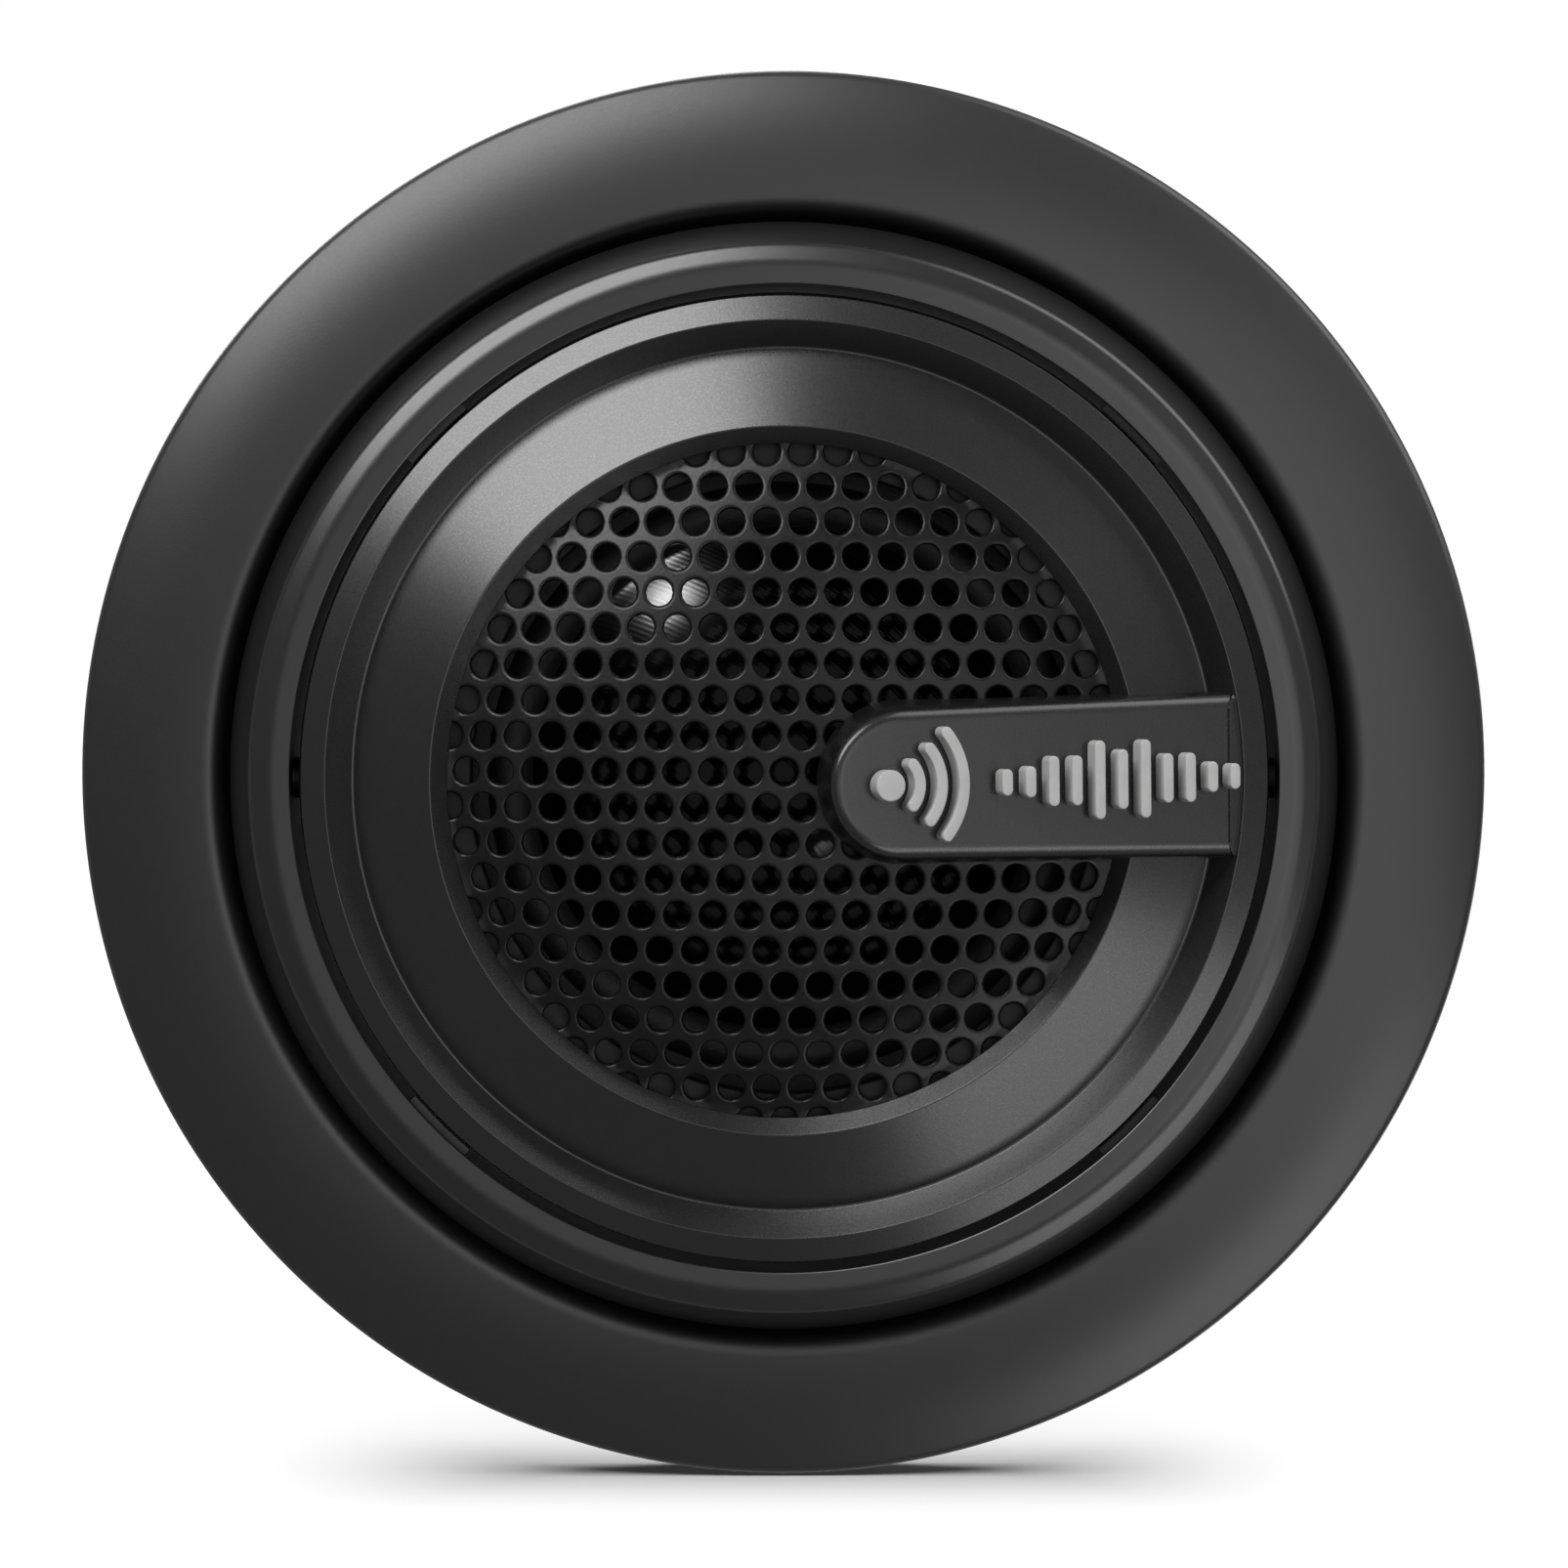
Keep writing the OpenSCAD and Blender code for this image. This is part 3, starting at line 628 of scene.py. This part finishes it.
# The shoulder has a narrow facet between two rounded edges, and then a steep slope down to the lip.
facet_turn, slope_turn = 66.5, 25.9
collar_section = (
    [(SOCKET_R + 0.1, COLLAR_BACK_H), (SOCKET_R, COLLAR_BACK_H + 0.1)]
    + arc((0, BALL_H), SOCKET_R, 0, ball_angle(SOCKET_R, SOCKET_TOP_H), 24)
    + [(18.33, COLLAR_TOP_H - 0.02), (18.36, COLLAR_TOP_H), (18.45, COLLAR_TOP_H), (18.7, COLLAR_TOP_H)]
    + arc((18.85, 4.05), 1.2, 90, facet_turn, 8)
    + arc((19.5, 4.53), 0.5, facet_turn, slope_turn, 8)
    + [(COLLAR_LIP_R - 0.05, 2.69), (COLLAR_LIP_R, 2.56), (COLLAR_LIP_R, COLLAR_LIP_H + 0.1)]
    + [(COLLAR_LIP_R - 0.1, COLLAR_LIP_H), (COLLAR_R, COLLAR_LIP_H), (COLLAR_R, SNAP_GROOVE[1])]
    + [(SNAP_GROOVE_R, SNAP_GROOVE[1]), (SNAP_GROOVE_R, SNAP_GROOVE[0]), (COLLAR_R, SNAP_GROOVE[0])]
    + [(COLLAR_R, COLLAR_BACK_H + 0.1), (COLLAR_R - 0.1, COLLAR_BACK_H)]
)
collar = lathe(bmesh.new(), collar_section, ROUND)
for wall in collar.faces:
    middle = wall.calc_center_median() / MM
    in_socket = math.hypot(middle.x, middle.z) < SOCKET_R + 0.02 and -middle.y < SOCKET_TOP_H - 0.09
    wall.material_index = int(in_socket)
ring = piece(
    "swivel_collar_ring", collar, "collar", ["swivel_collar"], COLLAR_LOOK, sharp=32
)
ring.data.materials.append(SOCKET_LOOK)

snap_inner_r, snap_outer_r, snap_half_gap = 19.35, 20.45, 4.3
snap_low, snap_high = SNAP_GROOVE[0] + 0.05, SNAP_GROOVE[1] - 0.05
snap = lathe(
    bmesh.new(),
    rounded(
        [
            (snap_inner_r, snap_high, 0.1), (snap_outer_r, snap_high, 0.1),
            (snap_outer_r, snap_low, 0.1), (snap_inner_r, snap_low, 0.1),
        ]
    ),
    even(200, snap_half_gap - 90, 270 - snap_half_gap),
    closed=False,
)
piece("collar_snap_spring", snap, "collar", ["collar_snap_ring"], SPRING_LOOK)

pads = bmesh.new()
pad_low, pad_high, pad_half_angle = 3.0, 4.85, 4.5
pad_section = arc((0, BALL_H), BALL_R + 0.05, ball_angle(BALL_R, pad_low), ball_angle(BALL_R, pad_high), 6)
pad_section += [(18.12, 4.9), (18.9, 4.9), (19.1, 4.8), (19.1, pad_low)]
for middle in (45, 135, 225, 315):
    lathe(pads, pad_section, even(12, middle - pad_half_angle, middle + pad_half_angle), closed=False)
piece("friction_pad_set", pads, "collar", ["friction_pads"], PAD_LOOK)

# ---------------------------------------------------------------- capsule housing

SHELL_INNER_R = 16.8
SHELL_TOP_H = 4.6
SHELL_BACK_H = -12.2
CHAMBER_R = 13.7
CHAMBER_OUTER_R = 15.2
SHELL_LEDGE_H = -3.6

shell_section = (
    [(CHAMBER_R, SHELL_LEDGE_H), (SHELL_INNER_R, SHELL_LEDGE_H), (SHELL_INNER_R, SHELL_TOP_H)]
    + arc((0, BALL_H), BALL_R, ball_angle(BALL_R, SHELL_TOP_H), ball_angle(BALL_R, -4.4), 40)
    + [(17.42, -4.5), (17.3, -4.6), (CHAMBER_OUTER_R + 0.15, -6.45), (CHAMBER_OUTER_R, -6.65)]
    + [(CHAMBER_OUTER_R, SHELL_BACK_H + 0.3), (CHAMBER_OUTER_R - 0.25, SHELL_BACK_H)]
    + [(CHAMBER_R + 0.1, SHELL_BACK_H), (CHAMBER_R, SHELL_BACK_H + 0.1)]
)
shell = lathe(bmesh.new(), shell_section, ROUND)
piece("capsule_shell_body", shell, "capsule", ["capsule_shell"], SHELL_LOOK)

face_section = rounded(
    [
        (17.9, 5.25, 0.06), (*OUTER_CREST, 0.05), (*VALLEY, 0.1), (*INNER_CREST, 0.06),
        (*GRILLE_EDGE, 0.03), (GRILLE_EDGE[0], GRILLE_SEAT_H, 0),
        (SHEET_POCKET_R, GRILLE_SEAT_H, 0), (SHEET_POCKET_R, 4.2, 0), (16.0, 4.2, 0),
        (16.0, 2.2, 0), (16.75, 2.2, 0), (16.75, SHELL_TOP_H, 0), (18.04, 4.63, 0.02),
    ]
)
face = lathe(bmesh.new(), face_section, even(360))
piece("face_ring_bezel", face, "capsule", ["face_ring"], FACE_LOOK, sharp=30)

retainer = lathe(
    bmesh.new(),
    rounded([(11.6, 4.4, 0.1), (11.6, 5.23, 0.1), (13.45, 5.23, 0), (13.45, 4.4, 0.1)]),
    even(180),
)
piece("grille_retainer_ring", retainer, "capsule", ["grille_retainer"], FRAME_LOOK)

# ---------------------------------------------------------------- grille

HOLE_R = 0.49
HOLE_LIP = 0.13
PITCH = 1.3
ROW_SHIFT = 0.42
SHEET_R = 13.35
LAST_HOLE_R = 12.75


def sheet_height(x, y):
    """Top of the grille sheet: a shallow dome that runs out into a flat rim."""
    return front_height(min(math.hypot(x, y), GRILLE_DOME_R))


def cell_border():
    """Points round a lattice cell that match its shifted neighbours, starting at +x."""
    half, quarter = PITCH / 2, PITCH / 4
    side = [(half, quarter * k) for k in (0, 1)]
    top = [(half - quarter / 2 * k, half) for k in range(9)]
    left = [(-half, quarter * k) for k in (1, 0, -1)]
    bottom = [(-half + quarter / 2 * k, -half) for k in range(9)]
    return side + top + left + bottom + [(half, -quarter)]


BORDER = cell_border()


def grille_vertex(bm, x, y, drop, known):
    """A vertex of the sheet, pulled in to its round outline, a drop below its top."""
    r = math.hypot(x, y)
    if r > SHEET_R:
        x, y = x * SHEET_R / r, y * SHEET_R / r
    key = (round(x, 5), round(y, 5), round(drop, 4))
    if key not in known:
        known[key] = bm.verts.new(FACING @ Vector((x, y, sheet_height(x, y) - drop)))
    return known[key]


def holed_cell(bm, cx, cy, known):
    """One cell with its hole: top, rolled lip, wall and underside."""
    lip, wall = HOLE_LIP, HOLE_R
    rings = [
        (wall + lip + 0.03, 0.0), (wall + lip, 0.0), (wall + lip * 0.55, 0.012),
        (wall + lip * 0.2, 0.05), (wall, 0.14), (wall, GRILLE_T - 0.06), (wall + 0.05, GRILLE_T),
    ]
    border = [(cx + x, cy + y) for x, y in BORDER]
    loops = [[grille_vertex(bm, x, y, 0.0, known) for x, y in border]]
    for r, drop in rings:
        loops.append([])
        for x, y in BORDER:
            a = math.atan2(y, x)
            loops[-1].append(grille_vertex(bm, cx + r * math.cos(a), cy + r * math.sin(a), drop, known))
    loops.append([grille_vertex(bm, x, y, GRILLE_T, known) for x, y in border])
    for one, two in zip(loops, loops[1:]):
        for j in range(len(border)):
            k = (j + 1) % len(border)
            corners = list(dict.fromkeys((one[j], one[k], two[k], two[j])))
            if len(corners) > 2 and not bm.faces.get(corners):
                bm.faces.new(corners)


def plain_cell(bm, cx, cy, known):
    """One cell of the sheet's flat rim, without a hole: the top and the underside."""
    border = [(cx + x, cy + y) for x, y in BORDER]
    for drop in (0.0, GRILLE_T):
        middle = grille_vertex(bm, cx, cy, drop, known)
        for (x0, y0), (x1, y1) in zip(border, border[1:] + border[:1]):
            if min(math.hypot(x0, y0), math.hypot(x1, y1), math.hypot(cx, cy)) >= SHEET_R:
                continue
            one, two = grille_vertex(bm, x0, y0, drop, known), grille_vertex(bm, x1, y1, drop, known)
            corners = list(dict.fromkeys((one, two, middle)))
            if len(corners) == 3 and not bm.faces.get(corners):
                bm.faces.new(corners)


def grille():
    """The perforated sheet, cell by cell, closed round its rim."""
    bm, known = bmesh.new(), {}
    reach = math.ceil(SHEET_R / PITCH) + 1
    for row in range(-reach, reach + 1):
        for column in range(-reach, reach + 1):
            cx = (column + (0.5 if row % 2 else 0)) * PITCH
            cy = row * PITCH + ROW_SHIFT
            if math.hypot(cx, cy) > SHEET_R + PITCH:
                continue
            cell = holed_cell if math.hypot(cx, cy) < LAST_HOLE_R else plain_cell
            cell(bm, cx, cy, known)
    bmesh.ops.delete(bm, geom=[v for v in bm.verts if not v.link_faces], context="VERTS")
    rim = [e for e in bm.edges if len(e.link_faces) == 1]
    bmesh.ops.bridge_loops(bm, edges=rim)
    return bm


piece("grille_mesh_dome", grille(), "capsule", ["grille_mesh"], GRILLE_LOOK, sharp=50)

# ---------------------------------------------------------------- badge bar and its mark


def bar_outline():
    """Half of the bar's outline seen from the front, with outward normals, round end first."""
    half, start, corner = BAR_W / 2, BAR_START, 0.35
    points = []
    for i in range(19):
        a = math.radians(5 * i)
        place = (start + half - half * math.cos(a), half * math.sin(a))
        points.append((place, (-math.cos(a), math.sin(a))))
    last = math.sqrt(OUTER_CREST[0] ** 2 - (half - corner) ** 2) - corner
    points += [((start + half + (last - start - half) * i / 40, half), (0.0, 1.0)) for i in range(1, 41)]
    for i in range(1, 9):
        a = math.radians(90 - 10 * i)
        place = (last + corner * math.cos(a), half - corner + corner * math.sin(a))
        points.append((place, (math.cos(a), math.sin(a))))
    for i in range(9):
        v = (half - corner) * (1 - i / 8)
        n = Vector((math.sqrt(OUTER_CREST[0] ** 2 - v * v), v)).normalized()
        points.append(((n.x * OUTER_CREST[0], v), (n.x, n.y)))
    return points


def bar_top(x):
    """Height of the bar's sloping face."""
    return BAR_END_H + (OUTER_CREST[0] - x) * math.tan(BAR_TILT)


def badge_bar():
    """Sloping face with a rolled edge, and walls that lean out towards their foot."""
    side_roll, end_roll, roll_steps, roll_sweep, sink = 0.55, 0.25, 9, 80, 0.12
    half = bar_outline()
    columns = half + [((x, -y), (a, -b)) for (x, y), (a, b) in reversed(half[1:-1])]
    turned = FACING @ BAR_TURN
    wall_shares = (0.5, 1.0)
    rings = [[] for _ in range(roll_steps + 1 + len(wall_shares))]
    for (x, y), (nx, ny) in columns:
        lean, edge = (BAR_DRAFT, side_roll) if nx < 0.5 else (0.0, end_roll)
        inset = lean * (bar_top(x) - BAR_FOOT_H - BAR_FOOT_SLOPE * (OUTER_CREST[0] - x))
        u, v = x - nx * inset, y - ny * inset
        for k in range(roll_steps + 1):
            a = math.radians(roll_sweep * k / roll_steps)
            out, drop = edge * (1 - math.sin(a)), edge * (1 - math.cos(a))
            place = u - nx * out
            rings[k].append(turned @ Vector((place, v - ny * out, bar_top(place) - drop)))
        top = bar_top(u) - edge * (1 - math.cos(math.radians(roll_sweep)))
        foot = front_height(math.hypot(x, y)) - sink
        for share, ring in zip(wall_shares, rings[roll_steps + 1 :]):
            down = (top - foot) * share
            ring.append(turned @ Vector((u + nx * lean * down, v + ny * lean * down, top - down)))
    bm = bmesh.new()
    made = loft(bm, rings)
    count, middle = len(columns), len(half) - 1
    for ring in (made[0], made[-1]):
        bm.faces.new((ring[0], ring[1], ring[count - 1]))
        bm.faces.new((ring[middle], ring[middle - 1], ring[middle + 1]))
        for i in range(1, middle - 1):
            bm.faces.new((ring[i], ring[i + 1], ring[count - i - 1], ring[count - i]))
    return bm


piece("badge_bar_body", badge_bar(), "capsule", ["badge_bar"], BAR_LOOK, sharp=35)

MARK_STROKE = 0.42
MARK_T = 0.6
MARK_BEVEL = 0.05
DOT_PLACE = 2.6
DOT_R = 0.55
ARC_SPREAD = 40
ARC_START_R = 0.275
ARC_STEP = 0.85
LEVEL_COUNT = 11
LEVEL_START = 7.1
LEVEL_STEP = 0.92
LEVEL_LOW = 0.9
LEVEL_RISE = 2.1
ODD_LEVEL_SHARE = 0.6


def band(radius, spread, width, centre):
    """A round-ended band along an arc."""

    def end(angle, start):
        a = math.radians(angle)
        middle = (centre + radius * math.cos(a), radius * math.sin(a))
        return arc(middle, width / 2, angle + start, angle + start + 180, 8)[1:-1]

    outer = arc((centre, 0), radius + width / 2, -spread, spread, 24)
    inner = arc((centre, 0), radius - width / 2, spread, -spread, 24)
    return outer + end(spread, 0) + inner + end(-spread, 180)


def capsule_outline(x, height, width):
    """An upright bar with round ends."""
    straight = (height - width) / 2
    return arc((x, straight), width / 2, 0, 180, 10) + arc((x, -straight), width / 2, 180, 360, 10)


mark_outlines = [circle_points(DOT_R, 40, (DOT_PLACE, 0))]
for i in (1, 2, 3):
    mark_outlines.append(band(ARC_START_R + ARC_STEP * i, ARC_SPREAD, MARK_STROKE, DOT_PLACE))
for i in range(LEVEL_COUNT):
    swell = math.sin(math.pi * (i + 0.5) / LEVEL_COUNT) ** 2
    level = LEVEL_LOW + LEVEL_RISE * swell * (ODD_LEVEL_SHARE if i % 2 else 1)
    mark_outlines.append(capsule_outline(LEVEL_START + LEVEL_STEP * i, level, MARK_STROKE))
mark = bmesh.new()
for outline in mark_outlines:
    merge(mark, plate([outline], -0.05, MARK_T, MARK_BEVEL, ON_BAR))
piece("badge_mark", mark, "capsule", ["badge_emblem"], MARK_LOOK)

# ---------------------------------------------------------------- dome and surround

DOME_R = 14.6
DOME_FOOT_H = 2.1
COIL_R = 9.5
dome_top = DOME_FOOT_H + DOME_R - math.sqrt(DOME_R**2 - COIL_R**2)
dome_centre = (0, dome_top - DOME_R)
edge_angle = math.degrees(math.acos((COIL_R - 0.3) / DOME_R))
dome_section = arc(dome_centre, DOME_R, 90, edge_angle, 40)
dome_section += [(COIL_R - 0.12, 2.22), (COIL_R, 2.14), (COIL_R + 0.04, DOME_FOOT_H)]
dome_section += [(COIL_R + 0.04, 1.97), (COIL_R - 0.1, 1.97)]
dome_section += arc(dome_centre, DOME_R - 0.15, edge_angle, 90, 20)
dome = lathe(bmesh.new(), dome_section, even(180))
piece("dome_cap", dome, "diaphragm", ["dome_diaphragm"], DOME_LOOK)

ROLL_R = 0.8
roll_centre = (10.36, 2.2)
surround_section = (
    arc(roll_centre, ROLL_R, 180, 0, 24)
    + [(11.25, 2.4), (12.1, 2.4), (12.2, 2.3), (12.2, 2.2)]
    + arc(roll_centre, ROLL_R - 0.2, 0, 180, 24)
)
surround = piece(
    "dome_surround_roll", lathe(bmesh.new(), surround_section, even(180)), None,
    ["dome_surround"], SURROUND_LOOK,
)
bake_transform(surround, "capsule", "diaphragm", start=(0, 0, 0), end=(0, 0, 0.01))

# The blend runs across the roll: its inner edge moves with the dome and its outer edge stays still.
weights = surround.data.attributes["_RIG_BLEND"].data
for vertex, weight in zip(surround.data.vertices, weights):
    across = math.hypot(vertex.co.x, vertex.co.z) / MM - (roll_centre[0] - ROLL_R)
    share = min(max(1 - across / (2 * ROLL_R), 0.0), 1.0)
    weight.value = share * share * (3 - 2 * share)

# ---------------------------------------------------------------- rear cover and gland

SCREW_ANGLES = (90, 210, 330)
SCREW_PLACE = 12.3
SCREW_R = 0.9
SCREW_HEAD_R = 1.5
COVER_R = 14.35
COVER_SPIGOT_R = 13.6
COVER_BACK_H = -13.7
GLAND_PLACE = (0.0, -7.5)


def screw_holes(radius):
    """The three screw holes' outlines."""
    outlines = []
    for angle in SCREW_ANGLES:
        a = math.radians(angle)
        place = (SCREW_PLACE * math.cos(a), SCREW_PLACE * math.sin(a))
        outlines.append(circle_points(radius, 36, place))
    return outlines


# Three layers that overlap a little: one holds the screw heads, one seats on the shell, one fits in it.
gland_hole = circle_points(2.38, 60, GLAND_PLACE)
cover = bmesh.new()
for rim_r, hole_r, low, high, bevel in (
    (COVER_R, SCREW_HEAD_R, COVER_BACK_H, -12.88, 0.12),
    (COVER_R, SCREW_R, -12.9, SHELL_BACK_H, 0.05),
    (COVER_SPIGOT_R, SCREW_R, -12.25, -11.4, 0.05),
):
    merge(cover, plate([circle_points(rim_r, 240), gland_hole, *screw_holes(hole_r)], low, high, bevel))
piece("rear_cover_plate", cover, "capsule", ["rear_cover"], COVER_LOOK)

# Bore, neck in the cover, head behind it, and a sleeve with two grooves.
bore_r, neck_r, head_r, sleeve_r, groove_r = 1.5, 2.4, 3.3, 2.7, 2.38
gland_section = (
    [(bore_r, -11.0), (neck_r, -11.0), (neck_r, COVER_BACK_H), (head_r - 0.1, COVER_BACK_H)]
    + [(head_r, COVER_BACK_H - 0.1), (head_r, -14.55), (head_r - 0.15, -14.7), (sleeve_r, -14.72)]
    + [(sleeve_r, -15.15), (sleeve_r - 0.08, -15.22), (groove_r, -15.25)]
    + [(groove_r, -15.5), (sleeve_r - 0.08, -15.53), (sleeve_r, -15.6)]
    + [(sleeve_r, -16.05), (sleeve_r - 0.08, -16.1), (groove_r, -16.13)]
    + [(groove_r, -16.35), (sleeve_r - 0.12, -16.4), (sleeve_r - 0.06, -16.5), (sleeve_r - 0.15, -16.66)]
    + [(neck_r, -16.7), (bore_r + 0.2, -16.7), (bore_r + 0.05, -16.62), (bore_r, -16.5)]
)
gland = lathe(bmesh.new(), gland_section, even(72), GLAND_PLACE)
piece("cable_gland_boot", gland, "capsule", ["cable_gland"], GLAND_LOOK)

# ---------------------------------------------------------------- CAD pieces that stay

CAD_LOOKS = {
    "trunnion_pins": PIN_LOOK,
    "voice_coil_former": FILM_LOOK,
    "voice_coil_winding": COPPER_LOOK,
    "coil_leads": TINSEL_LOOK,
    "motor_frame": FRAME_LOOK,
    "yoke_cup": MOTOR_LOOK,
    "magnet_disc": MAGNET_LOOK,
    "pole_plate": MOTOR_LOOK,
    "damping_felt": FELT_LOOK,
    "inner_leads": SLEEVE_LOOK,
    "terminal_board": BOARD_LOOK,
    "terminal_tabs": BRASS_LOOK,
    "cover_screws": SCREW_LOOK,
}
for name, material in CAD_LOOKS.items():
    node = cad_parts[name]
    node.data.materials.clear()
    node.data.materials.append(material)

# ---------------------------------------------------------------- studio

scene = bpy.context.scene
scene.view_settings.view_transform = "Standard"

FLOOR_REACH = 3.0
floor_z = CAD_BOX[0].z
floor_mesh = bpy.data.meshes.new("floor")
corners = [(x * FLOOR_REACH, y * FLOOR_REACH, floor_z) for x, y in ((-1, -1), (1, -1), (1, 1), (-1, 1))]
floor_mesh.from_pydata(corners, [], [(0, 1, 2, 3)])
floor = bpy.data.objects.new("floor", floor_mesh)
scene.collection.objects.link(floor)
floor_look = Look("floor_paper", 0.9, specular=0.1)
floor_look.colour(floor_look.noise(900, 2.0), grey(0.86), grey(0.90))
floor_mesh.materials.append(floor_look.material)
floor.visible_glossy = False
floor.visible_diffuse = False
floor.visible_shadow = False

world = bpy.data.worlds.new("studio")
scene.world = world
world.use_nodes = True
tree = world.node_tree
ray = tree.nodes.new("ShaderNodeLightPath")


def white(background, strength):
    """Sets a background node to white of one strength and gives its output."""
    background.inputs["Color"].default_value = (1, 1, 1, 1)
    background.inputs["Strength"].default_value = strength
    return background.outputs["Background"]


def for_rays(kind, those, others):
    """One background for a kind of ray and another for the rest."""
    mix = tree.nodes.new("ShaderNodeMixShader")
    tree.links.new(ray.outputs[kind], mix.inputs["Fac"])
    tree.links.new(others, mix.inputs[1])
    tree.links.new(those, mix.inputs[2])
    return mix.outputs["Shader"]


# The camera sees white, glossy surfaces mirror a grey room, and matt ones get only a little light from it.
seen = white(tree.nodes["Background"], 1.0)
mirrored = white(tree.nodes.new("ShaderNodeBackground"), 0.35)
scattered = white(tree.nodes.new("ShaderNodeBackground"), 0.032)
around = for_rays("Is Diffuse Ray", scattered, for_rays("Is Camera Ray", seen, mirrored))
tree.links.new(around, tree.nodes["World Output"].inputs["Surface"])


def light_group(name, *members, left_out=False):
    """A collection for light linking: its members alone, or everything but its members."""
    group = bpy.data.collections.new(name)
    for member in members:
        group.objects.link(member)
    if left_out:
        for entry in group.collection_objects:
            entry.light_linking.link_state = "EXCLUDE"
    return group


# A low card along the bottom of the flange, which no camera sees, shapes the soft shadow on the floor.
FLAG_HALF_ANGLE = 37
flag_outline = arc((0, 0), FLANGE_R - 0.1, -90 - FLAG_HALF_ANGLE, -90 + FLAG_HALF_ANGLE, 36)
flag = plate([flag_outline], -0.6, 1.4, 0.05)
flag_mesh = bpy.data.meshes.new("floor_light_flag")
flag.to_mesh(flag_mesh)
flag.free()
flag_card = bpy.data.objects.new("floor_light_flag", flag_mesh)
scene.collection.objects.link(flag_card)
flag_mesh.materials.append(floor_look.material)
flag_card.visible_camera = False
flag_card.visible_glossy = False
flag_card.visible_diffuse = False

dome_cap = bpy.data.objects["dome_cap"]
dome_only = light_group("dome_only", dome_cap)
grille_only = light_group("grille_only", bpy.data.objects["grille_mesh_dome"])
all_but_floor_and_dome = light_group("all_but_floor_and_dome", floor, dome_cap, left_out=True)
all_but_flag = light_group("all_but_flag", flag_card, left_out=True)

overhead = bpy.data.objects.new("floor_light", bpy.data.lights.new("floor_light", "SUN"))
overhead.data.energy = 3.9
overhead.data.angle = math.radians(90)
scene.collection.objects.link(overhead)
overhead.light_linking.receiver_collection = light_group("floor_only", floor)
overhead.light_linking.blocker_collection = light_group("flag_only", flag_card)


def softbox(name, off_axis, round_axis, distance, size, watts, receivers=None):
    """A rectangular light aimed at the object, placed by its angle off the axis and its angle round it."""
    a, b = math.radians(off_axis), math.radians(round_axis)
    away = Vector((math.sin(a) * math.cos(b), -math.cos(a), math.sin(a) * math.sin(b)))
    across = Vector((-math.sin(b), 0, math.cos(b)))
    data = bpy.data.lights.new(name, "AREA")
    data.shape = "RECTANGLE"
    data.size, data.size_y = size
    data.energy = watts
    made = bpy.data.objects.new(name, data)
    turned = Matrix((across, away.cross(across), away)).transposed().to_4x4()
    made.matrix_world = Matrix.Translation(away * distance) @ turned
    scene.collection.objects.link(made)
    made.light_linking.receiver_collection = receivers or all_but_floor_and_dome
    made.light_linking.blocker_collection = all_but_flag
    return made


softbox("key", 57, 120, 0.45, (0.36, 0.13), 2.0)
softbox("low_fill", 57, 314, 0.45, (0.33, 0.13), 0.54)
softbox("front_fill", 0, 0, 0.6, (0.5, 0.5), 0.55)
softbox("right_fill", 28, 8, 0.6, (0.60, 0.437), 1.12)
softbox("side_fill", 88, 45, 0.5, (0.5, 0.3), 1.5)
softbox("grille_key", 42, 128, 0.45, (0.22, 0.11), 0.6, grille_only)
softbox("back_key", 132, 118, 0.5, (0.36, 0.30), 2.4)
softbox("back_fill", 150, 330, 0.5, (0.45, 0.35), 1.2)
softbox("back_middle", 180, 0, 0.6, (0.5, 0.5), 0.7)

# Two small lights make the glints on the dome. Only the dome receives them or blocks them.
for name, off_axis, round_axis, size, watts in (
    ("glint", 70, 123, 0.085, 3.5),
    ("low_glint", 23, 301, 0.06, 0.03),
):
    glint = softbox(name, off_axis, round_axis, 0.45, (size, size), watts, dome_only)
    glint.light_linking.blocker_collection = dome_only
    glint.visible_diffuse = False

# The camera stands close, a little above the axis and a little to the left of it.
CAMERA_DISTANCE = 0.113
CAMERA_TILT = math.radians(2.0)
CAMERA_SIDE = -0.003
CAMERA_LENS = 67.46
AIM = Vector((0.0, -BALL_H * MM, -0.00025))
camera_data = bpy.data.cameras.new("camera")
camera_data.sensor_width = 36
camera_data.lens = CAMERA_LENS
camera_data.clip_start = 0.005
camera = bpy.data.objects.new("camera", camera_data)
back = Vector((CAMERA_SIDE, -math.cos(CAMERA_TILT), math.sin(CAMERA_TILT)))
camera.location = AIM + back * CAMERA_DISTANCE
camera.rotation_euler = back.to_track_quat("Z", "Y").to_euler()
scene.collection.objects.link(camera)
scene.camera = camera
